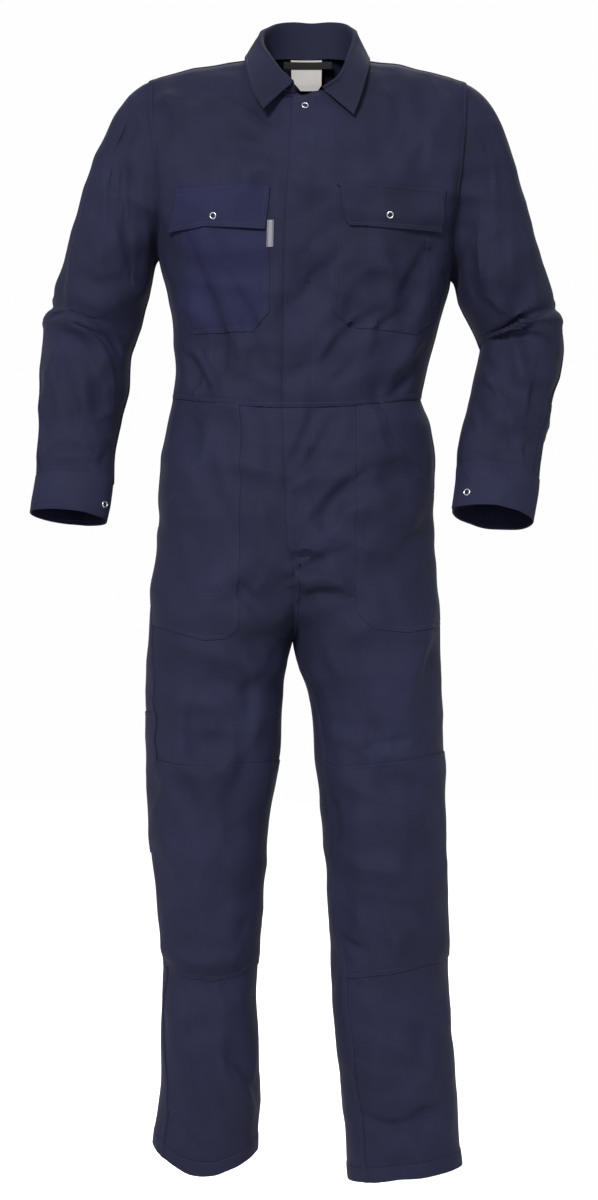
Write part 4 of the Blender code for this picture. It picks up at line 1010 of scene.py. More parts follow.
def stitch_group(stitch):
    """Geometry nodes that lay a stitch on every point, turned as the point's attribute says."""
    tree = bpy.data.node_groups.new("stitches", "GeometryNodeTree")
    tree.interface.new_socket("Geometry", in_out="INPUT", socket_type="NodeSocketGeometry")
    tree.interface.new_socket("Geometry", in_out="OUTPUT", socket_type="NodeSocketGeometry")
    start, end = tree.nodes.new("NodeGroupInput"), tree.nodes.new("NodeGroupOutput")
    shape = tree.nodes.new("GeometryNodeObjectInfo")
    shape.inputs["Object"].default_value = stitch
    turn = tree.nodes.new("GeometryNodeInputNamedAttribute")
    turn.data_type = "FLOAT_VECTOR"
    turn.inputs["Name"].default_value = "turn"
    lay = tree.nodes.new("GeometryNodeInstanceOnPoints")
    real = tree.nodes.new("GeometryNodeRealizeInstances")
    tree.links.new(start.outputs[0], lay.inputs["Points"])
    tree.links.new(shape.outputs["Geometry"], lay.inputs["Instance"])
    tree.links.new(turn.outputs["Attribute"], lay.inputs["Rotation"])
    tree.links.new(lay.outputs[0], real.inputs[0])
    tree.links.new(real.outputs[0], end.inputs[0])
    return tree


def stitching(name, runs):
    """Rows of stitches along runs of points and normals, as one piece."""
    places, turns = [], []
    for points, normals in runs:
        far = lengths(points[None])[0]
        count = int(far[-1] / STITCH_PITCH)
        for centre in (np.arange(count) + 0.5) * far[-1] / max(count, 1):
            spot, ahead, behind = (
                np.array([np.interp(centre + step, far, points[:, k]) for k in range(3)])
                for step in (0.0, 1.0, -1.0)
            )
            up = np.array([np.interp(centre, far, normals[:, k]) for k in range(3)])
            along = unit(ahead - behind)
            up = unit(up - (up @ along) * along)
            turn = Matrix(np.stack([along, np.cross(up, along), up], axis=-1).tolist())
            places.append(metres(spot))
            turns.append(turn.to_euler("XYZ"))
    mesh = bpy.data.meshes.new(name)
    mesh.vertices.add(len(places))
    mesh.vertices.foreach_set("co", np.array(places).ravel())
    turn = mesh.attributes.new("turn", "FLOAT_VECTOR", "POINT")
    turn.data.foreach_set("vector", np.array(turns).ravel())
    piece = placed(name, mesh)
    piece.modifiers.new("laid", "NODES").node_group = STITCHES
    applied(piece)
    return piece


def add_piece(name, grid, core):
    """Keeps a surface for its cloth, with its outward normals."""
    pieces[name] = {"grid": grid, "normal": out_of(grid, core), "layers": [], "runs": []}
    return pieces[name]


def share_normals(names):
    """Neighbouring pieces get one common normal where their borders meet."""
    total = {}
    for names_step in (False, True):
        for name in names:
            piece = pieces[name]
            grid, normal = piece["grid"], piece["normal"]
            for edge in (np.s_[0, :], np.s_[-1, :], np.s_[1:-1, 0], np.s_[1:-1, -1]):
                keys = [tuple(k) for k in np.rint(grid[edge] * 20).astype(int)]
                if names_step:
                    normal[edge] = unit(np.array([total[k] for k in keys]))
                else:
                    for key, side in zip(keys, normal[edge]):
                        total[key] = total.get(key, 0) + side


# ---------------------------------------------------------------- patches on the panels


def on_panel(panel, targets, axes):
    """Levels and shares at which a body panel passes through targets (x or y, z)."""
    part, side, half = panel
    top = SHOULDER if part is bodice else HEM
    level, share = np.meshgrid(np.linspace(0, top, 90), np.linspace(0, 1, 60), indexing="ij")
    coarse = body_point(part, side, half, level, share)[0][..., axes].reshape(-1, 2)
    found = [int(np.argmin(((coarse - t) ** 2).sum(1))) for t in targets]
    level, share = level.ravel()[found][:, None], share.ravel()[found][:, None]
    small = 1e-3
    for _ in range(25):
        here = body_point(part, side, half, level, share)[0][..., axes]
        lower = np.where(level > top / 2, -small, small)
        inner = np.where(share > 0.5, -small, small)
        beside = body_point(part, side, half, level + lower, share)[0][..., axes]
        by_level = (beside - here) / lower[..., None]
        beside = body_point(part, side, half, level, share + inner)[0][..., axes]
        by_share = (beside - here) / inner[..., None]
        miss = targets[:, None] - here
        det = by_level[..., 0] * by_share[..., 1] - by_level[..., 1] * by_share[..., 0]
        det = np.where(np.abs(det) < 1e-3, 1e-3, det)
        d_level = (miss[..., 0] * by_share[..., 1] - miss[..., 1] * by_share[..., 0]) / det
        d_share = (by_level[..., 0] * miss[..., 1] - by_level[..., 1] * miss[..., 0]) / det
        level = np.clip(level + np.clip(d_level, -0.5, 0.5), 0, top)
        share = np.clip(share + np.clip(d_share, -0.08, 0.08), 0, 1)
    return np.stack([level[:, 0], share[:, 0]], axis=-1)


IN, OUT = -math.inf, math.inf  # in place of a stop's x: at the inner or outer seam of the panel


def patch_edge(panel, stops, axes, fractions):
    """A patch's edge along stops (x or y, z), as levels and shares at fractions of its length."""
    part, side, half = panel
    top = SHOULDER if part is bodice else HEM
    fine = np.linspace(0, top, 4001)
    corners, in_seam = [], []
    for a, z in stops:
        if math.isinf(a):
            share = 1.0 if a > 0 else 0.0
            seam = body_point(part, side, half, fine[:, None], np.array([[share]]))[0][:, 0]
            order = np.argsort(seam[:, 2])
            level = float(np.interp(z, seam[order, 2], fine[order]))
            place = body_point(part, side, half, np.array([[level]]), np.array([[share]]))[0][0, 0]
            corners.append((place[axes[0]], z))
            in_seam.append((level, share))
        else:
            corners.append((a, z))
            in_seam.append(None)
    found = []
    for k in range(len(stops) - 1):
        t = np.linspace(0, 1, 25)[:, None]
        if in_seam[k] and in_seam[k + 1] and in_seam[k][1] == in_seam[k + 1][1]:
            run = (1 - t) * np.array(in_seam[k]) + t * np.array(in_seam[k + 1])
        else:
            run = on_panel(panel, (1 - t) * np.array(corners[k]) + t * np.array(corners[k + 1]), axes)
            if in_seam[k]:
                run[0] = in_seam[k]
            if in_seam[k + 1]:
                run[-1] = in_seam[k + 1]
        found.append(run if k == 0 else run[1:])
    run = np.concatenate(found)
    spots = body_point(part, side, half, run[:, :1], run[:, 1:])[0][:, 0]
    far = lengths(spots[None])[0]
    wanted = np.asarray(fractions) * far[-1]
    return np.stack([np.interp(wanted, far, run[:, k]) for k in (0, 1)], axis=-1), far[-1]


def fractions_of(length):
    """Where the rows of a patch lie: close together at its edges, where it is rounded and sewn."""
    if length < 24:
        return np.linspace(0, 1, 9)
    close = np.array([0, 0.5, 1.2, 1.9, 2.6, 4.2, 5.9, 6.6, 7.3, 9.5])
    inner = np.linspace(9.5, length - 9.5, max(int((length - 19) / CELL), 2) + 1)[1:-1]
    return np.concatenate([close, inner, length - close[::-1]]) / length


# A patch's edge: how far in from it, and how high it stands there over its own wall.
SEWN_EDGE = np.array([
    (0, -0.45), (0.5, -0.1), (1.2, 0.05), (1.9, -0.35), (2.6, 0.05), (4.2, 0.2), (5.9, 0.05), (6.6, -0.35),
    (7.3, 0.1), (12, 0.4),
]).T


def edged(far, borders, profile):
    """The height of a sewn edge along some borders of a piece."""
    height = np.full(far["inner"].shape, profile[1, -1])
    for border in borders:
        height = np.minimum(height, np.interp(far[border], *profile))
    return height


def patch(
    name, on, top, bottom, inner=(), outer=(), clear=PATCH_CLEAR, sewn=(), puff=0.0, flare=None, axes=(0, 2)
):
    """A patch on a panel: its top and bottom edge from the inner side, and the bends of its sides."""
    (part, side, half), core = PANELS[on], CORES[on]
    panel = PANELS[on]
    edges = {
        "top": top, "bottom": bottom,
        "inner": [top[0], *inner, bottom[0]], "outer": [top[-1], *outer, bottom[-1]],
    }
    length = {key: patch_edge(panel, stops, axes, [0, 1])[1] for key, stops in edges.items()}
    u = fractions_of((length["top"] + length["bottom"]) / 2)
    v = fractions_of((length["inner"] + length["outer"]) / 2)
    top, bottom = (patch_edge(panel, edges[k], axes, u)[0][None, :] for k in ("top", "bottom"))
    inner, outer = (patch_edge(panel, edges[k], axes, v)[0][:, None] for k in ("inner", "outer"))
    a, b = u[None, :, None], v[:, None, None]
    flat = (
        (1 - b) * top + b * bottom + (1 - a) * inner + a * outer
        - (1 - a) * (1 - b) * top[:, :1] - a * (1 - b) * top[:, -1:]
        - (1 - a) * b * bottom[:, :1] - a * b * bottom[:, -1:]
    )
    grid = folded(part, side, half, flat[..., 0], flat[..., 1], core)
    piece = add_piece(name, grid, core)
    far = far_from(grid)
    height = edged(far, sewn, SEWN_EDGE)
    middle = ease(np.minimum(far["inner"], far["outer"]) / (far["inner"] + far["outer"]) * 2)
    middle *= ease(np.minimum(far["first"], far["last"]) / (far["first"] + far["last"]) * 2)
    height += puff * middle
    if flare is not None:
        across, down = far["inner"] + far["outer"], far["first"] + far["last"]
        height += flare(far["inner"] / across, far["first"] / down)
    height += clear + PATCH_WALL + unevenness(grid, piece["normal"])
    piece["grid"] = grid + height[..., None] * piece["normal"]
    piece["normal"] = out_of(piece["grid"], core)
    piece["layers"].append((piece["grid"], piece["normal"], flat_map(piece["grid"])))
    for border in sewn:
        for distance in EDGE_ROWS:
            stitched(piece, border, distance, start=distance, end=distance)


def tree_of(piece):
    mesh = piece.data
    return BVHTree.FromPolygons([v.co for v in mesh.vertices], [f.vertices for f in mesh.polygons])


def placket_runs(piece, high, low):
    """The fly's row of stitches on a left front, from one height down to another."""
    z = np.arange(high, low, -3.0)
    offset = FLY_WIDTH + 0 * z
    if low == FLY_STITCH_END:
        turn = np.linspace(0, math.pi / 2, 14)
        z = np.concatenate([z[z > low + 18], low + 18 - 18 * np.sin(turn)])
        offset = np.concatenate([FLY_WIDTH + 0 * z[: len(z) - 14], 2 + (FLY_WIDTH - 2) * np.cos(turn)])
    tree = tree_of(piece)
    points, normals = [], []
    for across, height in zip(fly("edge", z) + offset, z):
        place, side, _, _ = tree.ray_cast(Vector(metres((across, IN_FRONT, height))), Vector((0, 1, 0)))
        if place is not None:
            points.append(np.array(place) / MM + NAPE + BAND_THREAD_LIFT * np.array(side))
            normals.append(np.array(side))
    return [(np.array(points), np.array(normals))]


# ---------------------------------------------------------------- materials


def linear(hex_colour):
    """An sRGB hex value as the linear colour that a shader takes."""
    parts = [int(hex_colour[k : k + 2], 16) / 255 for k in (0, 2, 4)]
    return (*(p / 12.92 if p <= 0.04045 else ((p + 0.055) / 1.055) ** 2.4 for p in parts), 1)


def node(tree, kind, links=(), inputs=(), stops=(), out=0, **settings):
    """Adds a node with its settings, input values, links from (socket, input) and a ramp's stops,
    and gives one of its outputs."""
    added = tree.nodes.new("ShaderNode" + kind)
    for key, value in settings.items():
        setattr(added, key, value)
    for key, value in dict(inputs).items():
        added.inputs[key].default_value = value
    for source, key in links:
        tree.links.new(source, added.inputs[key])
    if stops:
        elements = added.color_ramp.elements
        while len(elements) < len(stops):
            elements.new(0.5)
        for element, (place, colour) in zip(elements, stops):
            element.position, element.color = place, colour
    return added.outputs[out]


def surface_of(name, sockets):
    """A new material with the plain values of its shader's own sockets."""
    material = bpy.data.materials.new(name)
    material.use_nodes = True
    shader = material.node_tree.nodes["Principled BSDF"]
    for key, value in sockets.items():
        shader.inputs[key].default_value = value
    return material, material.node_tree, shader


def link_up(tree, shader, colour, grain=None, rough=(0, 0), normal=None):
    """Links a shader's colour, its roughness from low to high over a grain, and its relief."""
    tree.links.new(colour, shader.inputs["Base Color"])
    if grain:
        matt = node(tree, "MapRange", [(grain, "Value")], {"To Min": rough[0], "To Max": rough[1]})
        tree.links.new(matt, shader.inputs["Roughness"])
    if normal:
        tree.links.new(normal, shader.inputs["Normal"])


TWILL_RIB = 1.6  # millimetres: real ribs are 0.5 apart, too fine to show, so they are drawn coarser
TWILL_SLOPE = math.radians(63)


def rib_scale(rib):
    """A wave texture's scale for ribs so many millimetres wide."""
    return math.pi / (rib * MM) / 10


def twill(name, tone, dark, light):
    """Cotton and polyester twill, piece dyed navy: matt, with fine steep ribs, a little nap that
    catches light at glancing angles, and cloudy wear in its dye."""
    material, tree, shader = surface_of(name, {
        "Sheen Weight": 0.03, "Sheen Roughness": 0.4, "Sheen Tint": linear("5A6090"),
        "Specular IOR Level": 0.1,
    })
    flat, solid = node(tree, "UVMap", uv_map="UVMap"), node(tree, "TexCoord", out="Object")
    slanted = node(tree, "Mapping", [(flat, "Vector")], {"Rotation": (0, 0, TWILL_SLOPE)})
    waves = {"Scale": rib_scale(TWILL_RIB), "Distortion": 0.6, "Detail": 1.0, "Detail Scale": 2.0}
    ribs = node(tree, "TexWave", [(slanted, "Vector")], waves, out="Fac")
    drawn_out = node(tree, "Mapping", [(slanted, "Vector")], {"Scale": (1, 0.22, 1)})
    fine = {"Scale": 900.0, "Detail": 3.0, "Roughness": 0.6}
    threads = node(tree, "TexNoise", [(drawn_out, "Vector")], fine, out="Fac")
    cloudy = {"Scale": 9.0, "Detail": 4.0, "Roughness": 0.6}
    clouds = node(tree, "TexNoise", [(solid, "Vector")], cloudy, out="Fac")
    rubbed = node(tree, "Math", [(threads, 0), (clouds, 1)], operation="MULTIPLY")
    shades = [(0.12, linear(dark)), (0.27, linear(tone)), (0.44, linear(light))]
    colour = node(tree, "ValToRGB", [(rubbed, "Fac")], stops=shades)
    woven = node(tree, "Math", [(ribs, 0), (threads, 1)], operation="ADD")
    bump = node(tree, "Bump", [(woven, "Height")], {"Strength": 0.35, "Distance": 0.12 * MM})
    creased = {"Scale": 18.0, "Detail": 4.0, "Roughness": 0.5, "Lacunarity": 2.3}
    crumple = node(
        tree, "TexNoise", [(solid, "Vector")], creased, out="Fac", noise_type="RIDGED_MULTIFRACTAL"
    )
    links = [(crumple, "Height"), (bump, "Normal")]
    soft = node(tree, "Bump", links, {"Strength": 0.65, "Distance": 4.4 * MM})
    link_up(tree, shader, colour, threads, (0.74, 0.92), soft)
    return material


def thread_material():
    """Core-spun polyester sewing thread in navy: a shade lighter and glossier than the twill."""
    material, tree, shader = surface_of("navy_polyester_thread", {"Specular IOR Level": 0.15})
    solid = node(tree, "TexCoord", out="Object")
    plies = node(tree, "TexNoise", [(solid, "Vector")], {"Scale": 1400.0, "Detail": 2.0}, out="Fac")
    shades = [(0.35, linear("131528")), (0.65, linear("1F2238"))]
    link_up(tree, shader, node(tree, "ValToRGB", [(plies, "Fac")], stops=shades), plies, (0.45, 0.65))
    return material


def nickel():
    """Nickel-plated brass, pressed and tumbled: bright rings with fine rub marks."""
    material, tree, shader = surface_of("nickel_plated_brass", {"Metallic": 1.0})
    solid = node(tree, "TexCoord", out="Object")
    rubbed = node(tree, "TexNoise", [(solid, "Vector")], {"Scale": 700.0, "Detail": 4.0}, out="Fac")
    shades = [(0.3, linear("8F9094")), (0.7, linear("B4B5B9"))]
    colour = node(tree, "ValToRGB", [(rubbed, "Fac")], stops=shades)
    bump = node(tree, "Bump", [(rubbed, "Height")], {"Strength": 0.15, "Distance": 0.03 * MM})
    link_up(tree, shader, colour, rubbed, (0.18, 0.38), bump)
    return material


def woven_tape(name, rib, dark, light, rough, gleam, border=None):
    """Narrow woven tape: fine ribs across it, and on the tab a plain darker selvedge."""
    material, tree, shader = surface_of(name, {"Specular IOR Level": gleam})
    flat = node(tree, "UVMap", uv_map="UVMap")
    waves = {"Scale": rib_scale(rib), "Distortion": 0.4, "Detail": 1.0}
    ribs = node(tree, "TexWave", [(flat, "Vector")], waves, out="Fac", bands_direction="Y")
    threads = node(tree, "TexNoise", [(flat, "Vector")], {"Scale": 1500.0, "Detail": 3.0}, out="Fac")
    mixed = node(tree, "Math", [(ribs, 0), (threads, 1)], operation="MULTIPLY")
    shades = [(0.1, linear(dark)), (0.5, linear(light))]
    colour = node(tree, "ValToRGB", [(mixed, "Fac")], stops=shades)
    if border:
        across = node(tree, "SeparateXYZ", [(flat, "Vector")])
        off_middle = node(tree, "Math", [(across, 0)], operation="ABSOLUTE")
        place = node(tree, "Math", [(off_middle, 0)], {1: 100.0}, operation="MULTIPLY")
        black, white = (0, 0, 0, 1), (1, 1, 1, 1)
        edges = [(0.24, black), (0.27, white), (0.33, white), (0.36, black)]
        selvedge = node(tree, "ValToRGB", [(place, "Fac")], stops=edges)
        links = [(selvedge, 0), (colour, 6)]
        colour = node(tree, "Mix", links, {7: linear(border)}, out=2, data_type="RGBA")
    bump = node(tree, "Bump", [(ribs, "Height")], {"Strength": 0.4, "Distance": 0.1 * MM})
    link_up(tree, shader, colour, threads, (rough - 0.1, rough + 0.1), bump)
    return material


def plain_floor():
    """Matt white studio paper with the faintest mottle, and a faint painted glow that lifts its shaded parts
    to white, so it stays plain behind the suit.
    """
    material, tree, shader = surface_of("studio_paper", {
        # the emission is a painted glow: it fills the suit's shadow on the paper with light that no lamp
        # gives
        "Roughness": 0.9, "Specular IOR Level": 0.1, "Emission Color": (1, 1, 1, 1),
        "Emission Strength": 0.08,
    })
    solid = node(tree, "TexCoord", out="Object")
    mottle = node(tree, "TexNoise", [(solid, "Vector")], {"Scale": 3.0, "Detail": 3.0}, out="Fac")
    shades = [(0.3, linear("FCFCFC")), (0.7, linear("FDFDFD"))]
    link_up(tree, shader, node(tree, "ValToRGB", [(mottle, "Fac")], stops=shades))
    return material


NAVY = twill("navy_twill", "0F1021", "0C0D1B", "131527")
NAVY_BLUER = twill("navy_twill_bluer_roll", "0F1025", "0C0D1E", "13152B")
NAVY_GREYER = twill("navy_twill_greyer_roll", "0E0F1F", "0B0C19", "121425")
THREAD = thread_material()
NICKEL = nickel()
SATIN = woven_tape("white_label_satin", 0.5, "737170", "7E7C7A", 0.45, 0.15)
BLACK_TAPE = woven_tape("black_cotton_tape", 0.9, "0A0A0A", "151514", 0.75, 0.08)
GREY_TAPE = woven_tape("grey_tab_tape", 0.7, "4A4B4F", "5A5B60", 0.6, 0.1, border="24252B")


# ---------------------------------------------------------------- the body and the sleeves

low_levels = np.linspace(0, UNDERARM, 48)
upper_levels, turns = [], []
for k, cuts in enumerate(UPPER_CUTS):
    t = np.linspace(0, 1, cuts + 1)[:-1]
    if UPPER[k] in (NECK_FRONT, NECK_BACK):
        t = t**2  # the neckline leaves the middle steeply here
    upper_levels += list(UPPER[k] + (UPPER[k + 1] - UPPER[k]) * t)
    turns += list((k + t) / len(UPPER_CUTS))
bodice_levels = np.concatenate([low_levels[:-1], upper_levels, [SHOULDER]])
turns = np.array(turns + [1.0])
shares = np.linspace(0, 1, 54)
underarm_row = len(low_levels) - 1


def even_levels(lines, last, step):
    """Levels that lie evenly down a surface, whichever of its lines is longest there."""
    fine = np.linspace(0, last, 2401)
    steps = np.max([np.linalg.norm(np.diff(line(fine), axis=0), axis=-1) for line in lines], axis=0)
    far = np.concatenate([[0], np.cumsum(steps)])
    return np.interp(np.linspace(0, far[-1], int(far[-1] / step) + 1), far, fine)


def down_leg(side, half, share):
    return lambda level: body_point(trousers, side, half, level[:, None], np.array([[share]]))[0][:, 0]


leg_lines = [
    down_leg(side, half, share) for side in (RIGHT, LEFT) for half in (FRONT, BACK) for share in (0, 0.5, 1)
]
leg_levels = even_levels(leg_lines, HEM, CELL)
leg_levels = np.unique(np.append(leg_levels[np.abs(leg_levels - CROTCH) > 0.03], float(CROTCH)))
crotch_row = int(np.searchsorted(leg_levels, CROTCH))

PANELS = {}
CORES = {}
for side, word in SIDE_NAMES.items():
    for half, face in ((FRONT, "front"), (BACK, "back")):
        for part, title, levels, core in (
            (bodice, "bodice", bodice_levels, (0, 0, -300)),
            (trousers, "trouser", leg_levels, (side * 100, 0, -1000)),
        ):
            name = f"{title}_{face}_{word}"
            PANELS[name], CORES[name] = (part, side, half), np.array(core, float)
            grid = folded(part, side, half, levels[:, None], shares[None, :], CORES[name])
            add_piece(name, grid, CORES[name])
    arm = np.array((SLEEVE[side]["x"][3], 0, -380))
    round_arm = np.concatenate([turns, 2 - turns[::-1][1:]])
    seam = int(np.argmin(np.abs(round_arm - HIND_TURN)))
    down_arm = [
        lambda level, t=t: sleeve(side, level[:, None], np.array([[t]]))[:, 0] for t in (0.02, 0.5, 1.0, 1.5)
    ]
    sleeve_levels = even_levels(down_arm, SLEEVE_END, CELL)
    whole = sleeve(side, sleeve_levels[:, None], round_arm[None, :] + 0 * sleeve_levels[:, None])
    add_piece(f"sleeve_front_{word}", whole[:, : seam + 1], arm)
    add_piece(f"sleeve_back_{word}", whole[:, seam:], arm)
# The legs' centre seams meet exactly, from the end of the fly down to the crotch.
CENTRE_SEAM_START, CENTRE_SEAM_BLEND, CENTRE_BAND_START = -720, 12, -718
for face in ("front", "back"):
    both = [pieces[f"trouser_{face}_{word}"]["grid"] for word in SIDE_NAMES.values()]
    low = np.ones(crotch_row + 1)
    if face == "front":
        low = ease((CENTRE_SEAM_START - both[0][: crotch_row + 1, 0, 2]) / CENTRE_SEAM_BLEND)
    seam = (both[0][: crotch_row + 1, 0] + both[1][: crotch_row + 1, 0]) / 2
    for grid in both:
        fade = low[:, None] * (1 - ease(np.arange(grid.shape[1]) / 7))
        grid[: crotch_row + 1] += fade[..., None] * (seam - grid[: crotch_row + 1, 0])[:, None]
share_normals(list(pieces))
for name, piece in pieces.items():
    piece["grid"] = piece["grid"] + unevenness(piece["grid"], piece["normal"])[..., None] * piece["normal"]
    piece["layers"].append((piece["grid"], piece["normal"], flat_map(piece["grid"])))

# Seams: felled bands with two rows of stitches, on the side to which the allowances lie, and hems.
for side, word in SIDE_NAMES.items():
    for face in ("front", "back"):
        band(f"bodice_{face}_{word}", "first")
        band(f"trouser_{face}_{word}", "last", profile=HEMMED, stitch_rows=HEMMED_ROWS)
    for title, border, first in (
        ("bodice_front", "outer", underarm_row), ("bodice_back", "outer", 0), ("bodice_back", "last", 0),
        ("trouser_back", "outer", 0), ("trouser_back", "inner", crotch_row), ("sleeve_back", "inner", 0),
        ("sleeve_back", "outer", 0),
    ):
        band(f"{title}_{word}", border, first)
    stitched(pieces[f"sleeve_front_{word}"], "first", 2.0)
band("trouser_back_left", "inner", last=crotch_row)
centre_z = pieces["trouser_front_left"]["grid"][:, 0, 2]
fly_end_row = int(np.searchsorted(-centre_z, -CENTRE_BAND_START))
band("trouser_front_left", "inner", fly_end_row, crotch_row)

# ---------------------------------------------------------------- pockets, flaps and knee patches


def flap_flare(deep, wave, tilt):
    """A flap stands off below: how deep, how wavy, and how much more at its outer end."""

    def height(across, down):
        edge = deep + wave * np.sin(math.pi * (0.15 + 1.9 * across)) + tilt * (across - 0.5)
        return edge * np.clip(down, 0, 1) ** 1.7

    return height


EDGE_ROWS = (1.9, 6.6)
patch(
    "chest_pocket_right", "bodice_front_right", [(-42, -212), (-164, -212)], [(-65, -404), (-147.5, -404)],
    [(-42, -378)], [(-164, -386.5)], sewn=("inner", "outer", "last"), puff=2.2,
)
patch(
    "chest_pocket_left", "bodice_front_left", [(57, -212), (180, -212)], [(67.7, -397), (157, -404)],
    [(44.7, -377)], [(179, -386.5)], sewn=("inner", "outer", "last"), puff=2.0,
)
patch(
    "chest_flap_right", "bodice_front_right", [(-41, -206.3), (-171, -207.6)],
    [(-47, -267), (-123, -260.5), (-179, -264.5)],
    clear=FLAP_CLEAR, sewn=("inner", "outer", "first", "last"), flare=flap_flare(3.4, 1.4, -0.6),
)
patch(
    "chest_flap_left", "bodice_front_left", [(53, -201), (198, -208)], [(68, -261), (130, -264), (195, -266)],
    [(57, -232), (62, -254)],
    clear=FLAP_CLEAR, sewn=("inner", "outer", "first", "last"), flare=flap_flare(3.6, -1.0, 0.8),
)
patch(
    "hip_pocket_right", "trouser_front_right", [(-81, -494), (-115, -494)],
    [(-84, -808), (-99, -822), (-131, -824), (OUT, -803)], outer=[(-160, -584), (OUT, -668)],
    sewn=("inner", "last", "outer"), puff=2.4,
)
patch(
    "hip_pocket_left", "trouser_front_left", [(77, -494), (116, -494)],
    [(77, -785), (100, -808), (150, -813), (OUT, -805)], outer=[(131, -536), (148, -557), (OUT, -622)],
    sewn=("inner", "last", "outer"), puff=2.4,
)
patch(
    "knee_patch_right", "trouser_front_right", [(IN, -992), (-95, -994), (-142, -996), (OUT, -990)],
    [(IN, -1277), (-82, -1288), (-122, -1294), (-156, -1290), (OUT, -1276)], sewn=("first", "last"), puff=1.6,
)
patch(
    "knee_patch_left", "trouser_front_left", [(IN, -993), (46, -997), (100, -993), (150, -987), (OUT, -980)],
    [(IN, -1291), (108, -1284), (150, -1277), (OUT, -1266)], sewn=("first", "last"), puff=1.6,
)
patch(
    "rule_pocket", "trouser_back_right", [(14, -924), (OUT, -924)], [(14, -1120), (OUT, -1120)],
    sewn=("inner", "first", "last"), puff=1.4, axes=(1, 2),
)
# the grey tab, sewn in beside the right chest pocket and left blank
patch(
    "pocket_tab", "bodice_front_right", [(-36, -254), (-44.6, -254)], [(-36, -291), (-44.6, -291)],
    clear=TAB_CLEAR,
)


def crossed(name, row_height, start, end):
    """A row of stitches straight across a patch, at a height of its inner edge."""
    piece = pieces[name]
    row = int(np.argmin(np.abs(piece["grid"][:, 0, 2] - row_height)))
    spots, sides = piece["grid"][row], piece["normal"][row]
    piece["runs"].append(trim(spots + THREAD_LIFT * sides, sides, start, end))


for row_height in (-745, -749):
    crossed("hip_pocket_right", row_height, 14, 14)

# ---------------------------------------------------------------- the collar and the cuffs


def neck_loop(places):
    """Points of the neckline under the collar, at the collar table's places."""
    ring = []
    for side, half, step in ((RIGHT, FRONT, 1), (RIGHT, BACK, -1), (LEFT, BACK, 1), (LEFT, FRONT, -1)):
        start = NECK_FRONT if half == FRONT else NECK_BACK
        level = np.array([v for v in UPPER if v >= start])
        edge = inner_edge(bodice, side, half, level)
        line = bodice(side, half, level, angle_at(bodice, side, half, level, edge))[::step]
        ring.append(line if not ring else line[1:])
    ring = np.concatenate(ring)
    round_neck = np.unwrap(np.arctan2(ring[:, 1], NAPE[0] - ring[:, 0]))
    fold = point_of(COLLAR, places, ("fold_x", "fold_y", "fold_z"), "place")
    want = np.unwrap(np.arctan2(fold[:, 1], NAPE[0] - fold[:, 0]))
    return np.stack([np.interp(want, round_neck, ring[:, k]) for k in range(3)], axis=-1)


def lifted_clear(points):
    """Moves points that lie closer to the shoulders than the collar may come."""
    upper = [pieces[f"bodice_{face}_{word}"] for face in ("front", "back") for word in ("left", "right")]
    places = np.concatenate([p["grid"][underarm_row + 8 :].reshape(-1, 3) for p in upper])
    normals = np.concatenate([p["normal"][underarm_row + 8 :].reshape(-1, 3) for p in upper])
    moved = points.copy()
    for index in np.ndindex(points.shape[:-1]):
        near = int(np.argmin(((places - points[index]) ** 2).sum(1)))
        above = (points[index] - places[near]) @ normals[near]
        if above < COLLAR_CLEAR:
            moved[index] += (COLLAR_CLEAR - above) * normals[near]
    return moved


STAND_TOP, FALL_START = 3, 7  # the coarse rows where the collar's stand ends and its fall starts


def collar_frame(columns=22, fall_rows=4):
    """The collar's good side in few points: up the stand, over the fold and down the fall."""
    place = np.linspace(0, 8, columns + 1)
    foot = neck_loop(place)
    fold = point_of(COLLAR, place, ("fold_x", "fold_y", "fold_z"), "place")
    edge = point_of(COLLAR, place, ("edge_x", "edge_y", "edge_z"), "place")
    away = foot - (NAPE[0], 0.0, 0.0)
    away[:, 2] = 0
    away = unit(away)
    foot = foot - away * COLLAR_FOOT_IN - (0.0, 0.0, COLLAR_FOOT_DEPTH)
    up = unit(fold - foot)
    outwards = unit(np.cross(np.gradient(fold, axis=0), up))
    outwards *= np.sign((outwards * away).sum(-1, keepdims=True))
    rows = [foot + (fold - foot) * t for t in np.linspace(0, 1, STAND_TOP + 1)]
    open_share = np.clip(np.minimum(place, 8 - place)[:, None] / 1.5, 0, 1)
    radius = COLLAR_END_RADIUS + (COLLAR_FOLD_RADIUS - COLLAR_END_RADIUS) * open_share
    for bend in np.linspace(0, math.pi, FALL_START - STAND_TOP + 1)[1:-1]:
        rows.append(fold + radius * ((1 - math.cos(bend)) * outwards + math.sin(bend) * up))
    shoulder = fold + 2 * radius * outwards
    rows += [shoulder + (edge - shoulder) * t for t in np.linspace(0, 1, fall_rows + 1)]
    rows = np.array(rows)
    rows[-fall_rows:] = lifted_clear(rows[-fall_rows:])
    return rows


def finer(grid, far, wanted):
    """A grid's rows at other distances along it, smoothly between its own."""
    flat = grid.reshape(len(grid), -1)
    lines = [smooth_line(far, flat[:, k], wanted) for k in range(flat.shape[1])]
    return np.stack(lines, axis=-1).reshape(len(wanted), *grid.shape[1:])


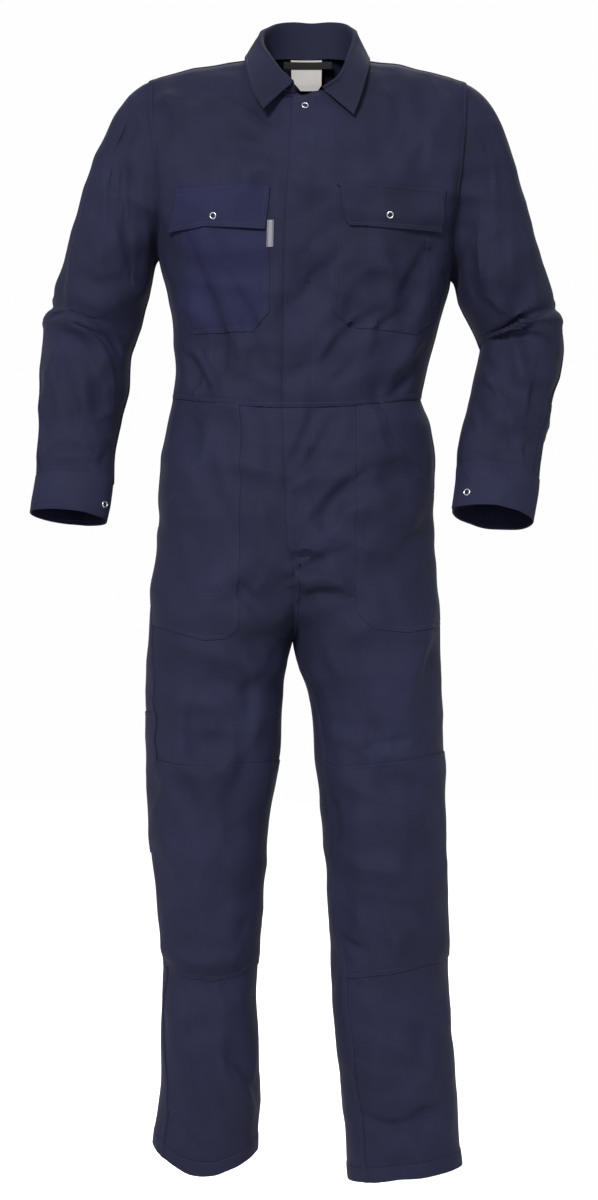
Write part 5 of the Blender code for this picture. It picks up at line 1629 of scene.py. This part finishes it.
coarse = collar_frame()
down = np.concatenate([[0], np.cumsum(np.linalg.norm(np.diff(coarse, axis=0), axis=-1).mean(1))])
close = np.array([0, 0.5, 1.2, 2.4, 4.2, 5.4, 6.1, 6.8, 8.4, 10.5])
EDGE = close[-1]  # how far in from its edges the collar's points lie closer together
rows_at = np.concatenate([
    np.linspace(0, down[STAND_TOP], 11)[:-1], np.linspace(down[STAND_TOP], down[FALL_START + 1], 13)[:-1],
    np.linspace(down[FALL_START + 1], down[-1] - EDGE, 12)[:-1], down[-1] - close[::-1],
])
collar = finer(coarse, down, rows_at)
round_neck = np.concatenate([[0], np.cumsum(np.linalg.norm(np.diff(coarse[-3], axis=0), axis=-1))])
total = round_neck[-1]
columns_at = np.concatenate([close, np.linspace(EDGE, total - EDGE, 150)[1:-1], total - close[::-1]])
collar = finer(collar.swapaxes(0, 1), round_neck, columns_at).swapaxes(0, 1)
normal = unit(np.cross(np.gradient(collar, axis=0), np.gradient(collar, axis=1)))
normal *= np.sign(normal[-1, collar.shape[1] // 2, 1])
COLLAR_ROW = 6.1  # how far in from its edges the collar is stitched
COLLAR_SEWN = np.array([
    (0, -0.5), (0.5, -0.15), (1.2, 0.1), (4.2, 0.2), (5.4, 0.05), (COLLAR_ROW, -0.35), (6.8, 0.05), (12, 0.3),
]).T
far = far_from(collar)
height = edged(far, ("inner", "outer", "last"), COLLAR_SEWN)
roll = np.sin(columns_at / total * 11 + 0.6)[None, :] * ease(1 - far["last"] / 30)
collar = collar + (height + 0.5 * roll)[..., None] * normal
piece = {"grid": collar, "normal": normal, "layers": [(collar, normal, flat_map(collar))], "runs": []}
pieces["collar"] = piece
stitched(piece, "last", COLLAR_ROW, COLLAR_ROW, COLLAR_ROW)
first = int(np.searchsorted(rows_at, down[FALL_START]))
for border in ("inner", "outer"):
    points, sides = (spots[first:, 0] for spots in walk_in(piece, border, [COLLAR_ROW]))
    piece["runs"].append(trim(points + THREAD_LIFT * sides, sides, 1.0, COLLAR_ROW))
stitched(piece, "first", 4.0, 8, 8)

for side, word in SIDE_NAMES.items():
    v, u = fractions_of(56.0), fractions_of(345.0)
    level = np.broadcast_to(SLEEVE_END + v[:, None] * (CUFF_END - SLEEVE_END), (len(v), len(u)))
    turn = u[None, :] * (1 + CUFF_OVERLAP)
    ring, out = sleeve_ring(side, level, math.radians(CUFF_START) - turn * 2 * math.pi)
    lap = ease((turn - (1 - CUFF_OVERLAP)) / CUFF_OVERLAP)
    axis = np.array([SLEEVE[side][c][-1] for c in "xyz"])
    piece = add_piece(f"cuff_{word}", ring + (lap * CUFF_LAP)[..., None] * out, axis)
    height = 0.5 + edged(far_from(piece["grid"]), ("inner", "outer", "first", "last"), SEWN_EDGE)
    height = height + 0.6 * unevenness(piece["grid"], piece["normal"])
    piece["grid"] = piece["grid"] + height[..., None] * piece["normal"]
    piece["layers"].append((piece["grid"], piece["normal"], flat_map(piece["grid"])))
    for border in ("first", "last", "outer"):
        for distance in EDGE_ROWS if border == "first" else EDGE_ROWS[1:]:
            stitched(piece, border, distance, distance, distance)

# ---------------------------------------------------------------- label and loop


def strip(name, left, right, z_range, y_line, columns, rows):
    """A small flat piece inside the back neck; its sides and its y are given by height."""
    z = np.linspace(*z_range, rows + 1)[:, None]
    t = np.linspace(0, 1, columns + 1)[None, :]
    x = left(z) + (right(z) - left(z)) * t
    grid = np.stack(np.broadcast_arrays(x, y_line(x, z), z), axis=-1)
    piece = {"grid": grid, "normal": np.broadcast_to((0.0, -1.0, 0.0), grid.shape), "layers": [], "runs": []}
    piece["layers"].append((grid, piece["normal"], flat_map(grid)))
    pieces[name] = piece
    return piece


def neck_curve(y, x):
    return y - 0.004 * (x - NAPE[0]) ** 2


def label_y(x, z):
    """The label's y: it bellies out in its middle and curls back at its foot."""
    belly = 1.2 * np.sin((x + 13) / 44 * math.pi) * ease(-z / 46)
    return neck_curve(60.4, x) - belly + 0.8 * ease((-z - 36) / 10)


strip(
    "neck_label",
    lambda z: -13 + np.interp(-z, [0, 31, 46], [0, 1, 14]),
    lambda z: 31 - np.interp(-z, [0, 38, 46], [0, 0.5, 6]),
    (-2.6, -46), label_y, 28, 28,
)
loop = strip(
    "locker_loop", lambda z: -23 + 0 * z, lambda z: 45 + 0 * z, (-5.4, -15.4),
    lambda x, z: neck_curve(58.6, x) - 0.25 * np.sin(math.pi * (-z - 5.4) / 10), 40, 8,
)
for border in ("inner", "outer"):
    for distance in (1.6, 3.4, 5.2):
        stitched(loop, border, distance, 1, 1)

# ---------------------------------------------------------------- pieces of cloth

STITCHES = stitch_group(stitch_shape())
stitch = bpy.data.objects["stitch"]

# The cut pieces of each side: wall, roll of cloth on the right and on the left, how they are held,
# and on what they rest.
PAIRS = [
    ("bodice_front", TWILL_WALL, NAVY, NAVY, "hung", "bodice_back"),
    ("sleeve_front", TWILL_WALL, NAVY, NAVY_GREYER, "hung", "bodice_front_{}"),
    ("sleeve_back", TWILL_WALL, NAVY, NAVY_GREYER, "hung", "bodice_back"),
    ("cuff", CUFF_WALL, NAVY, NAVY, "hung", "sleeve_front_{}"),
    ("trouser_front", TWILL_WALL, NAVY, NAVY, "hung", "bodice_front_{}"),
    ("trouser_back", TWILL_WALL, NAVY, NAVY, "hung", "bodice_back"),
    ("chest_pocket", PATCH_WALL, NAVY_BLUER, NAVY_GREYER, "laid", "bodice_front_{}"),
    ("chest_flap", PATCH_WALL, NAVY_BLUER, NAVY_GREYER, "laid", "chest_pocket_{}"),
    ("hip_pocket", PATCH_WALL, NAVY, NAVY, "laid", "trouser_front_{}"),
    ("knee_patch", PATCH_WALL, NAVY, NAVY, "laid", "trouser_front_{}"),
]
# Every cut piece: wall, material, slot, how it is held, and on what it rests.
CLOTH = [("bodice_back", TWILL_WALL, NAVY, "navy_twill", "hung", [])]
for title, wall, right, left, held, under in PAIRS:
    for word, roll in (("right", right), ("left", left)):
        CLOTH.append((f"{title}_{word}", wall, roll, "navy_twill", held, [under.format(word)]))
CLOTH += [
    ("rule_pocket", PATCH_WALL, NAVY, "navy_twill", "laid", ["trouser_back_right"]),
    ("collar", COLLAR_WALL, NAVY_GREYER, "navy_twill", "folded", ["bodice_back"]),
    ("neck_label", 0.4, SATIN, "white_label_satin", "hung", ["bodice_back"]),
    ("locker_loop", 0.9, BLACK_TAPE, "black_loop_tape", "hung", ["bodice_back"]),
    ("pocket_tab", 0.8, GREY_TAPE, "grey_tab_tape", "laid", ["chest_pocket_right"]),
]
MADE_OF = {"bodice_back": ("bodice_back_right", "bodice_back_left")}  # the back is cut in one
FLY_ROWS = {"bodice_front_left": (-78, -486), "trouser_front_left": (-509, FLY_STITCH_END)}
cloth = {}


def area_of(grid):
    steps_down, steps_across = np.diff(grid, axis=0)[:, :-1], np.diff(grid, axis=1)[:-1]
    return float(np.linalg.norm(np.cross(steps_down, steps_across), axis=-1).sum())


def sizes(grids):
    """The width, length and area of the cut that shows, in metres."""
    width = sum(float(np.max(lengths(grid)[:, -1])) for grid in grids)
    length = max(float(np.max(lengths(grid.swapaxes(0, 1))[:, -1])) for grid in grids)
    area = min(sum(area_of(grid) for grid in grids), width * length)
    return width * MM, length * MM, area * MM * MM


for name, wall, material, slot, held, rests in CLOTH:
    parts = [pieces[source] for source in MADE_OF.get(name, (name,))]
    layers = [layer for part in parts for layer in part["layers"]]
    piece = sheet_object(name + "_cloth", layers, wall, material)
    cloth[name] = piece
    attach(piece, "root")
    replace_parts(piece, name)
    runs = [run for part in parts for run in part["runs"]]
    width, length, area = sizes([part["layers"][0][0] for part in parts])
    if name in FLY_ROWS:
        runs += placket_runs(piece, *FLY_ROWS[name])
    if runs:
        rows = stitching(name + "_stitching", runs)
        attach(rows, "root")
bpy.data.objects.remove(stitch, do_unlink=True)

# ---------------------------------------------------------------- ring snaps


def seat(piece, start, direction):
    """Where a ray meets a piece, and which way its cloth faces there."""
    place, side, _, _ = tree_of(piece).ray_cast(Vector(start), Vector(direction))
    return place, -side if side.dot(Vector(direction)) > 0 else side


RING = [(3.2, -0.1), (3.2, 0.4), (3.35, 0.8), (3.7, 1.1), (4.15, 1.2), (4.6, 0.95), (4.95, 0.45), (5.0, -0.1)]


def snap(name, piece, start, direction):
    """A pressed metal ring, turned from its profile and seated on the cloth."""
    bm = bmesh.new()
    points = [bm.verts.new(Vector((r, 0, h)) * MM) for r, h in RING]
    links = [bm.edges.new(pair) for pair in zip(points, points[1:] + points[:1])]
    bmesh.ops.spin(
        bm, geom=points + links, cent=(0, 0, 0), axis=(0, 0, 1), angle=2 * math.pi, steps=40, use_merge=True
    )
    bmesh.ops.remove_doubles(bm, verts=bm.verts, dist=0.001 * MM)
    bmesh.ops.recalc_face_normals(bm, faces=bm.faces)
    place, side = seat(piece, start, direction)
    turn = Vector((0, 0, 1)).rotation_difference(side).to_matrix().to_4x4()
    bmesh.ops.transform(bm, matrix=Matrix.Translation(place + side * 0.1 * MM) @ turn, verts=bm.verts)
    mesh = mesh_of(bm, name, NICKEL)
    mesh.shade_smooth()
    mesh.set_sharp_from_angle(angle=RIM_ANGLE)
    ring = placed(name, mesh)
    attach(ring, "root")
    return ring


def round_wrist(side, level, degrees):
    place, out = sleeve_ring(side, np.array([level]), np.radians([degrees]))
    return metres(place[0] + 40 * out[0]), -out[0]


for name, under, x, z in (
    ("snap_neck", "bodice_front_left", 6.8, -93),
    ("snap_flap_right", "chest_flap_right", -118, -247.6),
    ("snap_flap_left", "chest_flap_left", 122, -247),
):
    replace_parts(snap(name + "_ring", cloth[under], metres((x, IN_FRONT, z)), (0, 1, 0)), name)
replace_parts(snap("snap_cuff_left_ring", cloth["cuff_left"], *round_wrist(LEFT, 8.71, 45)), "snap_cuff_left")
snap("snap_cuff_right_ring", cloth["cuff_right"], *round_wrist(RIGHT, 8.66, 33))

# ---------------------------------------------------------------- floor, light and camera

FLOOR_Z = -1.66
bm = bmesh.new()
bmesh.ops.create_circle(bm, cap_ends=True, segments=96, radius=9.0)
bmesh.ops.translate(bm, verts=bm.verts, vec=(0, 0, FLOOR_Z))
floor = placed("studio_floor", mesh_of(bm, "studio_floor", plain_floor()))

world = bpy.data.worlds.new("white_studio")
world.use_nodes = True
world.node_tree.nodes["Background"].inputs["Color"].default_value = (0.99, 0.99, 0.99, 1)
world.node_tree.nodes["Background"].inputs["Strength"].default_value = 1.0
bpy.context.scene.world = world
bpy.context.scene.view_settings.view_transform = "Standard"


def softbox(name, place, aim, size, watts, beam, tint):
    light = bpy.data.lights.new(name, "AREA")
    light.shape = "RECTANGLE"
    light.size, light.size_y = size
    light.energy = watts
    light.spread = math.radians(beam)
    light.color = tint
    box = placed(name, light)
    box.location = place
    box.rotation_euler = (Vector(aim) - Vector(place)).to_track_quat("-Z", "Y").to_euler()


softbox("key_softbox", (-1.4, -4.8, 2.2), (0, 0, -0.78), (1.4, 1.4), 63, 50, (1.0, 0.99, 0.98))
softbox("fill_softbox", (1.9, -3.4, 0.9), (0, 0, -0.8), (1.4, 1.4), 6, 60, (0.98, 0.99, 1.0))
softbox("back_softbox", (0.6, 3.0, 2.6), (0, 0.6, -1.6), (2.0, 2.0), 60, 140, (1.0, 1.0, 1.0))

camera = placed("camera", bpy.data.cameras.new("camera"))
camera.location = (-0.0124, -4.266, -0.7686)
camera.rotation_euler = (math.pi / 2, 0, 0)
camera.data.sensor_width = 36
camera.data.sensor_fit = "AUTO"
camera.data.lens = 90
bpy.context.scene.camera = camera
